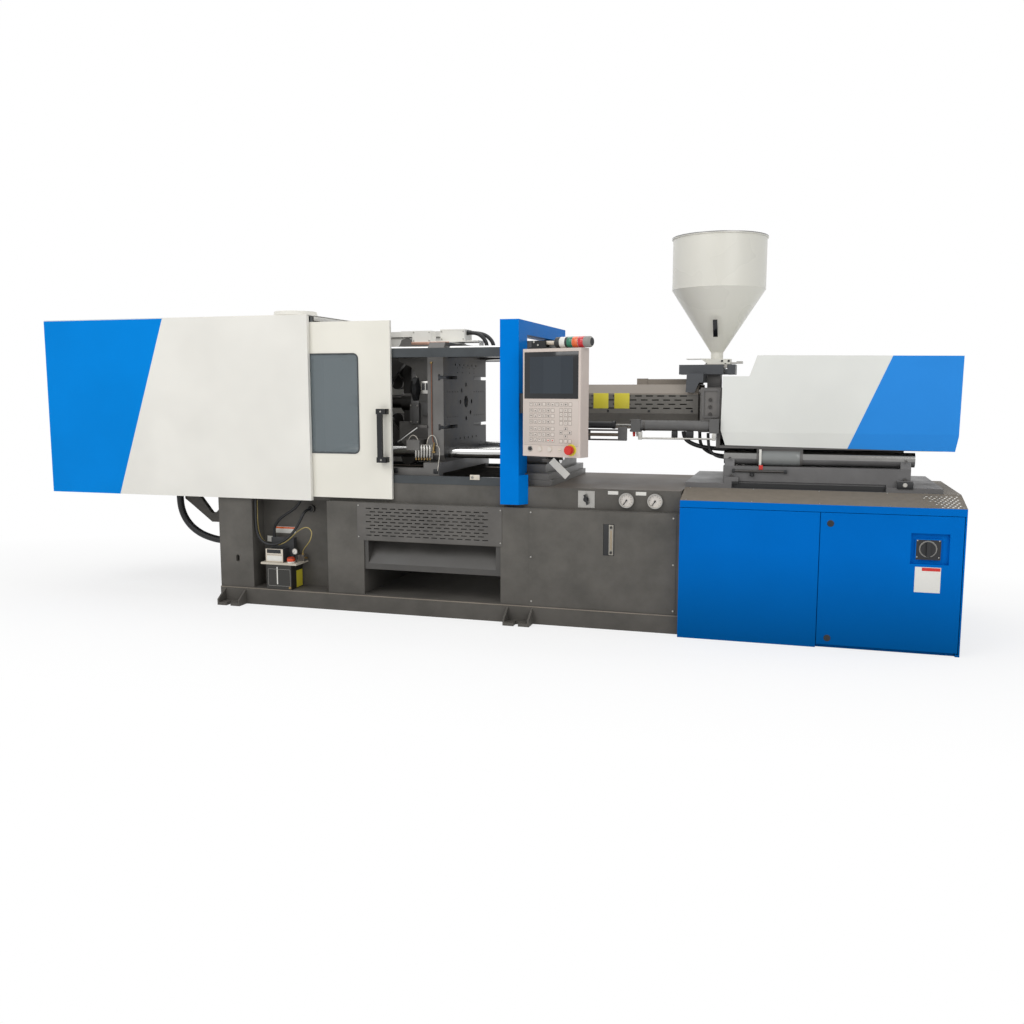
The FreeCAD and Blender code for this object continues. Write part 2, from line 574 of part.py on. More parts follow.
def make_moving_platen():
    body = new_body("moving_platen_block")
    back = "platen_face - platen_thick"
    pad(body, platen_face_sketch(body, "platen_face", "platen_rise"), "YZ", "platen_thick", False)
    ribs = []
    for level, thick in (("80", "45"), ("180", "45")):
        sketch = new_sketch(body, "XZ", level)
        for sign in (1, -1):
            z = "axis_z + %d * pivot_rise" % sign
            tip = PLATEN_PIVOT
            outline(sketch, [("%s + 1" % back, "axis_z + %d * 235" % sign),
                             ("%s - 173" % back, "axis_z + %d * 270" % sign),
                             (tip, "%s - %d * 50" % (z, sign)),
                             ("%s - 36" % tip, "%s - %d * 36" % (z, sign)), ("%s - 50" % tip, z),
                             ("%s - 36" % tip, "%s + %d * 36" % (z, sign)),
                             (tip, "%s + %d * 50" % (z, sign)),
                             ("%s + 40" % tip, "%s + %d * 30" % (z, sign)),
                             ("%s + 50" % tip, "axis_z + %d * 385" % sign),
                             ("%s + 1" % back, "axis_z + %d * 385" % sign)])
        ribs.append(pad(body, sketch, "XZ", thick))
    sketch = new_sketch(body, "XZ", "232")
    wall_low, wall_high = "axis_z - platen_rise", "axis_z + platen_rise"
    outline(sketch, [("%s + 1" % back, wall_low), ("%s - 150" % back, wall_low),
                     ("%s - 270" % back, "axis_z - 250"), ("%s - 270" % back, "axis_z - 130"),
                     ("%s - 200" % back, "axis_z - 130"), ("%s - 130" % back, "axis_z - 60"),
                     ("%s - 130" % back, "axis_z + 150"), ("%s - 180" % back, "axis_z + 230"),
                     ("%s - 270" % back, "axis_z + 270"), ("%s - 270" % back, "axis_z + 340"),
                     ("%s - 190" % back, wall_high), ("%s + 1" % back, wall_high)])
    ribs.append(pad(body, sketch, "XZ", "40"))
    sketch = new_sketch(body, "XZ", "80")
    for sign in (1, -1):
        circle(sketch, PLATEN_PIVOT, "axis_z + %d * pivot_rise" % sign, "main_pin")
    ribs.append(pad(body, sketch, "XZ", "145"))
    mirror(body, ribs, "XZ")
    cut_mounting_face(body, "platen_face", -1)
    bore_tie_bars(body, "platen_face", "platen_thick", "tie_radius + run_gap", False)
    sketch = new_sketch(body, "YZ", "platen_face")
    circle(sketch, "0", "axis_z", "locating_radius / 2")
    for y, z in (("-115", "0"), ("115", "0"), ("0", "-115"), ("0", "115"), ("-90", "75"), ("90", "-75")):
        circle(sketch, y, "axis_z + %s" % z, "16")
    pocket(body, sketch, "YZ", "platen_thick", False)
    web = block(("%s - 173" % back, "%s - 153" % back), ("-80", "80"), ("axis_z - 290", "axis_z + 290"))
    ejector_barrel = rod("x", ("%s - 153" % back, "0", "axis_z"), "62", "52")
    foot = fuse(block((back, "platen_face - 6"), ("-520", "520"), ("915", "axis_z - platen_rise")),
                block(("%s - 250" % back, "platen_face - 6"), ("-520", "-442"), ("rail_top + 0.3", "915")),
                block(("%s - 250" % back, "platen_face - 6"), ("442", "520"), ("rail_top + 0.3", "915")),
                block(("%s - 250" % back, "%s + 2" % back), ("-520", "-460"), ("915", "950")),
                block(("%s - 250" % back, "%s + 2" % back), ("460", "520"), ("915", "950")))
    side = "-platen_half"
    distributor = fuse(block(("-330", "-240"), ("%s - 34" % side, "%s + 70" % side), ("1062", "1128")),
                       block(("-330", "-240"), ("%s + 69" % side, "%s + 185" % side), ("1090", "1128")))
    pivots = cut(body, rod("x", ("%s - 180" % back, "0", "axis_z"), "20.3", "30"))
    node("moving_platen", cut(
        fuse(pivots, web, ejector_barrel, foot, distributor),
        rod("x", ("%s - 175" % back, "0", "axis_z"), "20.3", "90")))


def make_ejector():
    back = "platen_face - platen_thick"
    plate = block(("%s - 98" % back, "%s - 78" % back), ("-72", "72"), ("axis_z - 150", "axis_z + 150"))
    wings = block(("%s - 98" % back, "%s - 78" % back), ("-72", "72"), ("axis_z - 40", "axis_z + 40"))
    pins = [rod("x", ("%s - 78" % back, "0", "axis_z + %s" % z), "15.92", "160") for z in ("-115", "115")]
    stem = rod("x", ("%s - 170" % back, "0", "axis_z"), "20", "80")
    centre = rod("x", ("%s - 78" % back, "0", "axis_z"), "30", "150")
    node("ejector_plate", fuse(plate, wings, stem, centre, *pins))


def make_tail_platen():
    body = new_body("tail_platen_block")
    front = "%s - tail_gap" % TAIL_PIVOT
    pad(body, platen_face_sketch(body, front, "tail_rise"), "YZ", "tail_thick", False)
    ribs = []
    for level, thick in (("40", "35"), ("130", "35")):
        sketch = new_sketch(body, "XZ", level)
        for sign in (1, -1):
            z = "axis_z + %d * pivot_rise" % sign
            outline(sketch, [("%s - 1" % front, "%s - %d * 95" % (z, sign)),
                             (TAIL_PIVOT, "%s - %d * 58" % (z, sign)),
                             ("%s + 41" % TAIL_PIVOT, "%s - %d * 41" % (z, sign)),
                             ("%s + 58" % TAIL_PIVOT, z),
                             ("%s + 41" % TAIL_PIVOT, "%s + %d * 41" % (z, sign)),
                             (TAIL_PIVOT, "%s + %d * 58" % (z, sign)),
                             ("%s - 1" % front, "%s + %d * 58" % (z, sign))])
        ribs.append(pad(body, sketch, "XZ", thick))
    sketch = new_sketch(body, "XZ", "40")
    for sign in (1, -1):
        circle(sketch, TAIL_PIVOT, "axis_z + %d * pivot_rise" % sign, "main_pin")
    ribs.append(pad(body, sketch, "XZ", "125"))
    mirror(body, ribs, "XZ")
    bore_tie_bars(body, front, "tail_thick", "tie_radius + run_gap", False)
    sketch = new_sketch(body, "YZ", front)
    circle(sketch, "0", "axis_z", "rod_radius + run_gap")
    pocket(body, sketch, "YZ", "tail_thick", False)
    rear = "(%s - tail_thick)" % front
    foot = block((rear, front), ("-520", "520"), ("rail_top + 0.3", "axis_z - tail_rise"))
    node("tail_platen", fuse(body, foot))
    nuts = []
    for y in ("-tie_pitch / 2", "tie_pitch / 2"):
        for z in ("axis_z - tie_pitch / 2", "axis_z + tie_pitch / 2"):
            nuts.append(cut(rod("x", ("%s - 75" % rear, y, z), "75", "75"),
                            rod("x", ("%s - 76" % rear, y, z), "tie_radius + run_gap", "77")))
    node("die_height_nuts", group(*nuts))
    end = "%s - cylinder_long" % rear
    barrel = fuse(rod("x", (end, "0", "axis_z"), "cylinder_radius", "cylinder_long"),
                  rod("x", ("%s - 40" % rear, "0", "axis_z"), "cylinder_radius + 35", "40"),
                  rod("x", (end, "0", "axis_z"), "cylinder_radius + 20", "45"))
    node("clamp_cylinder", cut(
        barrel, rod("x", ("%s + 50" % end, "0", "axis_z"), "piston_radius", "cylinder_long - 110"),
        rod("x", ("%s - 70" % rear, "0", "axis_z"), "rod_radius + run_gap", "80")))


def tangent_link(sketch, length, radius):
    """Two round eyes of one radius joined by tangent sides; the first eye is at the origin."""
    long, round_end = number(length), number(radius)
    points = {
        "left": (FreeCAD.Vector(0, round_end, 0), FreeCAD.Vector(-round_end, 0, 0),
                 FreeCAD.Vector(0, -round_end, 0)),
        "right": (FreeCAD.Vector(long, -round_end, 0), FreeCAD.Vector(long + round_end, 0, 0),
                  FreeCAD.Vector(long, round_end, 0)),
    }
    left = sketch.addGeometry(Part.Arc(*points["left"]))
    right = sketch.addGeometry(Part.Arc(*points["right"]))
    low = sketch.addGeometry(Part.LineSegment(points["left"][2], points["right"][0]))
    top = sketch.addGeometry(Part.LineSegment(points["right"][2], points["left"][0]))
    for line in (low, top):
        sketch.addConstraint(Sketcher.Constraint("Horizontal", line))
    for line, start, arc, end in ((low, 1, left, 2), (low, 2, right, 1), (top, 1, right, 2), (top, 2, left, 1)):
        sketch.addConstraint(Sketcher.Constraint("Tangent", line, start, arc, end))
    size = sketch.addConstraint(Sketcher.Constraint("Radius", left, round_end))
    bind(sketch, "Constraints[%d]" % size, radius)
    hold_point(sketch, left, 3, "0", "0")
    span = sketch.addConstraint(Sketcher.Constraint("DistanceX", left, 3, right, 3, long))
    bind(sketch, "Constraints[%d]" % span, length)


def place_link(name, thing, x, z, angle):
    """Sets a link at its pivot, turned about Y; a positive angle lowers its far end."""
    thing.Label = name
    down = number(angle) > 0
    thing.Placement = FreeCAD.Placement(
        FreeCAD.Vector(), FreeCAD.Rotation(FreeCAD.Vector(0, 1 if down else -1, 0), 1))
    bind(thing, "Placement.Rotation.Angle", angle if down else "-(%s)" % angle)
    set_place(thing, x, "axis_y", z)
    NODES[name] = thing


def link_plates(name, length, eye_radius, inner, thick, near_bore, far_bore):
    """A pair of link plates, one each side of the machine's axis."""
    body = new_body(name + "_plates")
    sketch = new_sketch(body, "XZ", inner)
    tangent_link(sketch, length, eye_radius)
    plate = pad(body, sketch, "XZ", thick)
    mirror(body, [plate], "XZ")
    sketch = new_sketch(body, "XZ", "-300")
    if near_bore:
        circle(sketch, "0", "0", near_bore)
    if far_bore:
        circle(sketch, length, "0", far_bore)
    if near_bore or far_bore:
        pocket(body, sketch, "XZ", "600")
    return body


def make_toggle():
    """The upper and the lower linkage are mirror images: up is +1 for the upper one."""
    for name, up in (("upper", 1), ("lower", -1)):
        z = "axis_z + %d * pivot_rise" % up
        lean = "%d * toggle_angle" % up
        far_gap = "run_gap" if up > 0 else "0.6"
        knee = (KNEE_X, "%s - %d * %s" % (z, up, KNEE_DROP))
        arm_x = "arm * cos(arm_angle * 1 deg)"
        arm_z = "%d * arm * sin(arm_angle * 1 deg)" % up
        plates = link_plates(name + "_rear", "link", "eye", "80", "45", "main_pin + run_gap", None)
        ears = [rod("y", (arm_x, y, arm_z), "small_eye", "45") for y in ("-125", "80")]
        arm_pin = rod("y", (arm_x, "-125", arm_z), "arm_pin", "250")
        knee_pins = [rod("y", ("link", y, "0"), "main_pin", "95") for y in ("-175", "80")]
        place_link(name + "_rear_link", fuse(plates, *ears, arm_pin, *knee_pins),
                   TAIL_PIVOT, z, lean)
        front = link_plates(name + "_front", "link", "eye", "130", "45", "main_pin + run_gap",
                            "main_pin + " + far_gap)
        place_link(name + "_front_link", front, knee[0], knee[1], "-(%s)" % lean)
        short = link_plates(name + "_short", "arm", "small_eye", "45", "30", "arm_pin + run_gap",
                            "arm_pin + " + far_gap)
        spacer = rod("y", ("85", "-46", "0"), "14", "92")
        swing = "(toggle_angle - arm_angle)"
        arm_at = ("%s + arm * cos(%s * 1 deg)" % (TAIL_PIVOT, swing),
                  "%s - %d * arm * sin(%s * 1 deg)" % (z, up, swing))
        place_link(name + "_crosshead_link", fuse(short, spacer), arm_at[0], arm_at[1],
                   "-%d * %s" % (up, swing))


def make_crosshead():
    beam = block(("%s - 30" % CROSSHEAD_X, "%s + 30" % CROSSHEAD_X), ("-40", "40"),
                 ("axis_z - pivot_rise", "axis_z + pivot_rise"))
    ends = []
    for sign in (1, -1):
        z = "axis_z + %d * pivot_rise" % sign
        ends += [rod("y", (CROSSHEAD_X, "-40", z), "30", "80"),
                 rod("y", (CROSSHEAD_X, "-75", z), "arm_pin", "150")]
    hub = rod("x", ("%s - 42" % CROSSHEAD_X, "0", "axis_z"), "72", "78")
    stem_left = "(%s - 1004)" % CROSSHEAD_X
    stem = rod("x", (stem_left, "0", "axis_z"), "rod_radius", "1004")
    piston = rod("x", (stem_left, "0", "axis_z"), "piston_radius - run_gap", "60")
    node("crosshead", fuse(beam, *ends, hub, stem, piston))


def make_junction_box():
    box = block(("-237", "-64"), ("-75", "75"), ("1779", "1855"))
    tray = block(("-262", "40"), ("-95", "95"), ("1770", "1779"))
    stand = block(("-190", "-110"), ("-60", "60"), ("axis_z + platen_rise", "1770"))
    shelf = block(("-370", "-100"), ("-266", "60"), ("axis_z + platen_rise", "1763"))
    drop = block(("34", "110"), ("-60", "20"), ("1672", "1680"))
    hanger = block(("34", "40"), ("-60", "20"), ("1672", "1772"))
    valve_box = block(("-370", "-240"), ("-250", "-150"), ("1763", "1838"))
    bracket = block(("-460", "-370"), ("-230", "-170"), ("1800", "1838"))
    node("junction_box", fuse(box, tray, stand, shelf, drop, hanger, valve_box, bracket))


# ---- injection unit --------------------------------------------------------------------------

def make_injection_bed():
    """The casting on the cabinet's lid that carries the two guide rods."""
    bars = [rod("x", ("guide_left", y, "guide_z"), "guide_radius", "guide_right - guide_left")
            for y in ("-guide_half", "guide_half")]
    saddles = []
    for y in ("-guide_half", "guide_half"):
        for x in ("guide_left + 8", "guide_right - 78"):
            saddles.append(prism("YZ", [("%s - 62" % y, "999"), ("%s + 62" % y, "999"),
                                        ("%s + 40" % y, "guide_z - 8"), ("%s - 40" % y, "guide_z - 8")],
                                 x, "%s + 56" % x))
    plinth = cut(block(("cabinet_left", "2906"), ("-425", "425"), ("cabinet_top", "bed_low")),
                 block(("1745", "2600"), ("-426", "-405"), ("872", "bed_low + 1")))
    casting = cut(block(("guide_left", "2735"), ("-395", "395"), ("bed_low - 1", "1000")),
                  block(("guide_left + 60", "2675"), ("-250", "250"), ("920", "1001")),
                  block(("guide_left - 1", "guide_left + 61"), ("-250", "250"), ("950", "1001")),
                  block(("2674", "2736"), ("-250", "250"), ("950", "1001")),
                  block(("1745", "2600"), ("-396", "-387"), ("bed_low", "908")))
    lugs = [block((x, "%s + 84" % x), span, ("bed_low - 1", "936"))
            for x in ("guide_left + 8", "2662") for span in (("-424", "-394"), ("394", "424"))]
    node("injection_bed", fuse(plinth, casting, *lugs, *saddles, *bars))


def make_carriage():
    plate = block(("front_left", "front_right"), ("-346", "346"), ("1196", "1464"))
    web = block(("1636", "front_right"), ("-346", "346"), ("1104", "1197"))
    neck = block(("1549", "1631"), ("-60", "60"), ("1464", "1547"))
    deck = block(("front_right", "2900"), ("-372", "372"), ("1104", "1120"))
    sleeves, bores = [], []
    for y in ("-guide_half", "guide_half"):
        sleeves += [rod("x", ("1878", y, "guide_z"), "guide_radius + 6", "264"),
                    block(("1878", "2142"), ("%s - 30" % y, "%s + 30" % y), ("guide_z + 20", "1105"))]
        bores.append(rod("x", ("1870", y, "guide_z"), "guide_radius + run_gap", "280"))
    rams = [cut(rod("x", ("front_right - 1", y, "axis_z"), "55", "301"),
                rod("x", ("front_right + 10", y, "axis_z"), "30.1", "300"))
            for y in ("-230", "230")]
    bores += [rod("x", ("front_left - 1", "0", "axis_z"), "barrel_radius", "barrel_right - front_left + 1"),
              rod("x", ("barrel_right - 1", "0", "axis_z"), "bore_radius + 2", "40"),
              rod("z", ("throat", "0", "axis_z"), "throat_radius", "200")]
    fitting = fuse(block(("1513", "front_left"), ("-216", "-184"), ("1200", "1235")),
                   rod("z", ("1524", "-200", "1190"), "12", "12"))
    port = block(("1800", "1850"), ("-222", "-178"), ("1025", "1105"))
    heads = [rod("x", ("front_left - 12", y, z), "13", "13")
             for y in ("-310", "-225", "225", "310") for z in ("1225", "1440")]
    node("carriage", fuse(cut(fuse(plate, web, neck, deck, *sleeves), *bores), *rams, fitting, port, *heads))


def make_barrel():
    body = fuse(rod("x", ("barrel_left", "0", "axis_z"), "barrel_radius", "barrel_right - barrel_left"),
                cone("x", ("barrel_left - 45", "0", "axis_z"), "42", "barrel_radius", "45"),
                rod("x", ("nozzle_left + 25", "0", "axis_z"), "24", "70"),
                cone("x", ("nozzle_left", "0", "axis_z"), "8", "24", "25"))
    hollow = fuse(rod("x", ("barrel_left - 10", "0", "axis_z"), "bore_radius", "1100"),
                  rod("x", ("nozzle_left - 1", "0", "axis_z"), "4", "140"),
                  rod("z", ("throat", "0", "axis_z"), "throat_radius", "90"))
    node("barrel", cut(body, hollow))


def make_shroud():
    """The eight-sided sheet guard round the barrel, with slotted sides."""
    body = new_body("barrel_cover_shell")

    def octagon(inset):
        half = "(shroud_half - %s)" % inset
        low, high = "(1206 + %s)" % inset, "(1484 - %s)" % inset
        return [("50 - %s" % half, low), ("%s - 50" % half, low), (half, "%s + 98" % low),
                (half, "%s - 55" % high), ("%s - 55" % half, high), ("55 - %s" % half, high),
                ("-%s" % half, "%s - 55" % high), ("-%s" % half, "%s + 98" % low)]
    sketch = new_sketch(body, "YZ", "shroud_left")
    outline(sketch, octagon("0"))
    pad(body, sketch, "YZ", "shroud_right - shroud_left")
    sketch = new_sketch(body, "YZ", "shroud_left")
    outline(sketch, octagon("sheet"))
    pocket(body, sketch, "YZ", "shroud_right - shroud_left")
    for start, top, columns in (("840", "1416", 9), ("807", "1391", 10)):
        sketch = new_sketch(body, "XZ", "-shroud_half")
        for high in (top, "%s - 51" % top):
            rectangle(sketch, (start, "%s + 43" % start), ("%s - 7" % high, high))
        slots = pocket(body, sketch, "XZ", "sheet + 1")
        repeat(body, slots, "X", "70", columns)
    scale = fuse(block(("1085", "shroud_right"), ("60", "96"), ("1483", "1520")),
                 block(("1085", "1153"), ("55", "101"), ("1483", "1524")))
    collar = cut(block(("shroud_right - 12", "front_left"), ("-190", "190"), ("1240", "1450")),
                 rod("x", ("shroud_right - 13", "0", "axis_z"), "barrel_radius + 0.2", "60"))
    node("barrel_cover", fuse(body, scale, collar))


def make_seat_cylinders():
    cylinders = []
    for y, low, high in (("-seat_half", "-415", "-346"), ("seat_half", "346", "415")):
        tube = fuse(rod("x", ("1185", y, "seat_z"), "32", "449"),
                    block(("1128", "1186"), ("%s - 36" % y, "%s + 36" % y), ("1196", "1272")),
                    block(("1600", "1656"), (low, high), ("1192", "1278")))
        cylinders.append(cut(tube, rod("x", ("1127", y, "seat_z"), "seat_rod + run_gap", "70"),
                             rod("x", ("1190", y, "seat_z"), "25", "410")))
    node("carriage_cylinders", group(*cylinders))


def make_injection_drive():
    plate = block(("1990", "2070"), ("-300", "300"), ("1190", "1540"))
    rams = [rod("x", ("1690", y, "axis_z"), "30", "310") for y in ("-230", "230")]
    motor = fuse(rod("x", ("2070", "0", "axis_z"), "120", "90"), rod("x", ("2160", "0", "axis_z"), "100", "190"),
                 block(("2190", "2300"), ("-60", "60"), ("axis_z + 80", "axis_z + 150")))
    socket = rod("x", ("1989", "0", "axis_z"), "screw_radius + run_gap", "101")
    node("injection_plate", cut(fuse(plate, motor, *rams), socket))
    flight = []
    for index in range(14):
        flight.append(rod("x", ("%d" % (690 + 60 * index), "0", "axis_z"), "screw_radius", "12"))
    core = rod("x", ("690", "0", "axis_z"), "19", "850")
    shank = rod("x", ("1530", "0", "axis_z"), "screw_radius", "558")
    tip = cone("x", ("560", "0", "axis_z"), "4", "19", "60")
    ring = rod("x", ("620", "0", "axis_z"), "screw_radius - 1", "72")
    node("screw", fuse(tip, ring, core, shank, *flight))


def case_outline(inset):
    """The side view of the injection cover, moved in by the inset."""
    return [("1669 + %s" % inset, "1531 - %s" % inset), ("1823 + 0.4 * %s" % inset, "1531 - %s" % inset),
            ("1866 + 0.4 * %s" % inset, "1653 - %s" % inset), ("2980 - %s" % inset, "1639 - %s" % inset),
            ("2975 - %s" % inset, "1190"), ("2961 - %s" % inset, "1104 - 0.2 * %s" % inset),
            ("1693 + %s" % inset, "1122 - 0.2 * %s" % inset), ("1665 + %s" % inset, "1212")]


def case_section(inset):
    """The end view: upright sides that draw in below the fold."""
    half = "(case_half - %s)" % inset
    low = "1100 - %s" % inset
    high = "1660 - %s" % inset
    return [("12 - %s" % half, low), ("-%s" % half, "1200"), ("-%s" % half, "%s - 8" % high),
            ("8 - %s" % half, high), ("%s - 8" % half, high), (half, "%s - 8" % high),
            (half, "1200"), ("%s - 12" % half, low)]


def make_injection_cover():
    solids = []
    for inset in ("0", "case_sheet"):
        side = prism("XZ", case_outline(inset), "-case_half - 5", "case_half + 5")
        section = prism("YZ", case_section(inset), "1600", "3000")
        common = doc.addObject("Part::Common", "common")
        common.Base = side
        common.Tool = section
        solids.append(common)
    mouth = block(("1660", "1675"), ("-352", "352"), ("1100", "1522"))
    node("injection_cover", cut(solids[0], solids[1], block(("1696", "2950"), ("-373", "373"),
                                                           ("1090", "1130")), mouth))


# ---- hopper ----------------------------------------------------------------------------------

def make_hopper():
    body = new_body("hopper_shell")
    sketch = new_sketch(body, "XZ")
    outer, inner = "hopper_radius", "hopper_radius - hopper_wall"
    outline(sketch, [("neck_radius", "neck_low"), ("neck_radius", "neck_top"), (outer, "hopper_break"),
                     (outer, "hopper_rim - 10"), ("%s + 7" % outer, "hopper_rim - 10"),
                     ("%s + 7" % outer, "hopper_rim"), (inner, "hopper_rim"),
                     (inner, "hopper_break + 2"), ("neck_radius - hopper_wall", "neck_top + 2"),
                     ("neck_radius - hopper_wall", "neck_low")])
    turn = body.newObject("PartDesign::Revolution", "revolution")
    turn.Profile = sketch
    turn.ReferenceAxis = (sketch, ["V_Axis"])
    turn.Angle = 360
    body.Tip = turn
    bind(body, "Placement.Base.x", "throat")
    foot = block(("throat - 70", "throat + 70"), ("-70", "70"), ("1587.3", "1611"))
    housing = block(("throat - 62", "throat + 89"), ("-62", "62"), ("1610", "neck_low"))
    bore = rod("z", ("throat", "0", "1586"), "throat_radius", "60")
    slot = block(("throat - 42", "throat + 90"), ("-46", "46"), ("1613", "1623"))
    tray = block(("1413", "1559"), ("-60", "60"), ("1642", "1646"))
    stays = [prism("XZ", [("1502", "1646"), ("1526", "1646"), ("1592", "1598"), ("1568", "1598")], low, high)
             for low, high in (("-66", "-61.5"), ("61.5", "66"))]
    sight = block(("throat - 20", "throat + 20"), ("-230", "-120"), ("1745", "1905"))
    frame = cut(sight, rod("y", ("throat", "-400", "1700"), "5", "5"))
    trimmed = doc.addObject("Part::Common", "common")
    trimmed.Base = frame
    trimmed.Tool = cone("z", ("throat", "0", "neck_top"), "neck_radius + 8", "hopper_radius + 8",
                        "hopper_break - neck_top")
    lens = cut(trimmed, cone("z", ("throat", "0", "neck_top"), "neck_radius - 1", "hopper_radius - 1",
                             "hopper_break - neck_top"))
    node("hopper", fuse(body, cut(fuse(foot, housing), bore, slot), lens, tray, *stays))
    plate = block(("throat - 38", "throat + 140"), ("-45", "45"), ("1613.3", "1622.7"))
    grip = block(("throat + 123", "throat + 161"), ("-24", "24"), ("1613.3", "1629"))
    node("hopper_gate", fuse(plate, grip))


def make_hopper_base():
    """The slide under the hopper, with a throat and a chute that empties it to the front."""
    plate = fuse(block(("1375", "1650"), ("-95", "95"), ("1547", "1587")),
                 block(("1649", "1673"), ("-70", "70"), ("1547", "1580")),
                 block(("1672", "1720"), ("-80", "80"), ("1546", "1608")))
    ledges = [block(("1375", "1650"), span, ("1586", "1607")) for span in (("-95", "-72"), ("72", "95"))]
    chute = fuse(block(("1443", "1543"), ("-262", "30"), ("1495", "1550")),
                 prism("XZ", [("1443", "1550"), ("1543", "1550"), ("1512", "1482"), ("1491", "1433"),
                              ("1438", "1436")], "-262", "-236"))
    holes = [rod("z", ("throat", "0", "1540"), "throat_radius", "60"),
             rod("z", ("1468", "0", "1510"), "22", "90"),
             block(("1448", "1538"), ("-257", "25"), ("1500", "1542")),
             block(("1452", "1484"), ("-257", "-241"), ("1430", "1502"))]
    node("hopper_base", cut(fuse(plate, *ledges, chute), *holes))


# ---- control panel ---------------------------------------------------------------------------

def make_panel():
    back_y = "pivot_y + 659 - 600"
    arm = fuse(block(("column_right", "790"), ("-600", "-552"), ("1340", "1400")),
               block(("736", "790"), ("-659", "-599"), ("1340", "1400")),
               rod("z", ("pivot_x", "pivot_y", "1340"), "27", "60"),
               rod("z", ("pivot_x", "pivot_y", "1302"), "12", "136"),
               block(("column_right", "495"), ("-612", "-540"), ("1310", "1430")))
    node("panel_arm", arm)
    case = block(("-panel_half", "panel_half"), ("panel_front", "panel_back"), ("panel_low", "panel_top"))
    rounded = doc.addObject("Part::Fillet", "rounded")
    rounded.Base = case
    doc.recompute()
    upright = []
    for index, edge in enumerate(case.Shape.Edges, start=1):
        low, high = edge.BoundBox.ZMin, edge.BoundBox.ZMax
        if high - low > 100:
            upright.append((index, 8.0, 8.0))
    rounded.Edges = upright
    knuckles = []
    for low, high in (("1302", "1339.7"), ("1400.3", "1438")):
        knuckles += [rod("z", ("0", "0", low), "27", "%s - %s" % (high, low)),
                     block(("-27", "27"), ("panel_back", "0"), (low, high))]
    pin_hole = rod("z", ("0", "0", "1290"), "12.1", "160")
    bores = [rod("y", (x, "panel_front - 1", "1104"), radius, deep)
             for x, radius, deep in (("-143", "10.3", "22"), ("-74", "14.3", "14"), ("-5", "14.3", "14"),
                                     ("141", "12.3", "32"))]
    ring = cut(rod("y", ("141", "panel_front - 6", "1104"), "31", "6"),
               rod("y", ("141", "panel_front - 7", "1104"), "12.3", "9"))
    screen = block(("-186", "186"), ("panel_front - 1", "panel_front + 3"), ("1399", "1671"))
    foot = block(("-165", "-50"), ("-125", "-55"), ("panel_top", "panel_top + 10"))
    cheeks = [block(("-150", "-55"), span, ("panel_top + 9", "panel_top + 48"))
              for span in (("-120", "-106"), ("-74", "-60"))]
    hinge_pin = rod("y", ("-75", "-120", "1724"), "6", "60")
    housing = cut(fuse(rounded, *knuckles), pin_hole, screen, *bores)
    place_on_panel("panel_housing", fuse(housing, ring, foot, *cheeks, hinge_pin))
    arm_bar = fuse(rod("y", ("-75", "-105.7", "1724"), "14", "31.4"),
                   rod("x", ("-75", "-90", "1724"), "11", "86"))
    lamp = fuse(rod("x", ("10", "-90", "1724"), "lamp_radius", "222"),
                cone("x", ("232", "-90", "1724"), "lamp_radius", "lamp_radius - 9", "13"),
                rod("x", ("2", "-90", "1724"), "lamp_radius - 8", "12"))
    place_on_panel("signal_light", cut(fuse(arm_bar, lamp), rod("y", ("-75", "-125", "1724"), "6.1", "70")))
    stop = fuse(rod("y", ("141", "panel_front - 42", "1104"), "24", "6"),
                rod("y", ("141", "panel_front - 36", "1104"), "27", "20"),
                rod("y", ("141", "panel_front - 16", "1104"), "12", "34"))
    place_on_panel("e_stop", stop)
    for name, x in (("push_button_left", "-74"), ("push_button_right", "-5")):
        place_on_panel(name, fuse(rod("y", (x, "panel_front - 7", "1104"), "12.5", "2"),
                                  rod("y", (x, "panel_front - 5", "1104"), "14", "13")))
    place_on_panel("key_switch", cut(
        fuse(rod("y", ("-143", "panel_front - 5", "1104"), "10", "22"),
             rod("y", ("-143", "panel_front - 3", "1104"), "12", "2.7")),
        block(("-144.2", "-141.8"), ("panel_front - 6", "panel_front - 1"), ("1097", "1111"))))


# ---- electrical cabinet, instruments and lubrication -----------------------------------------

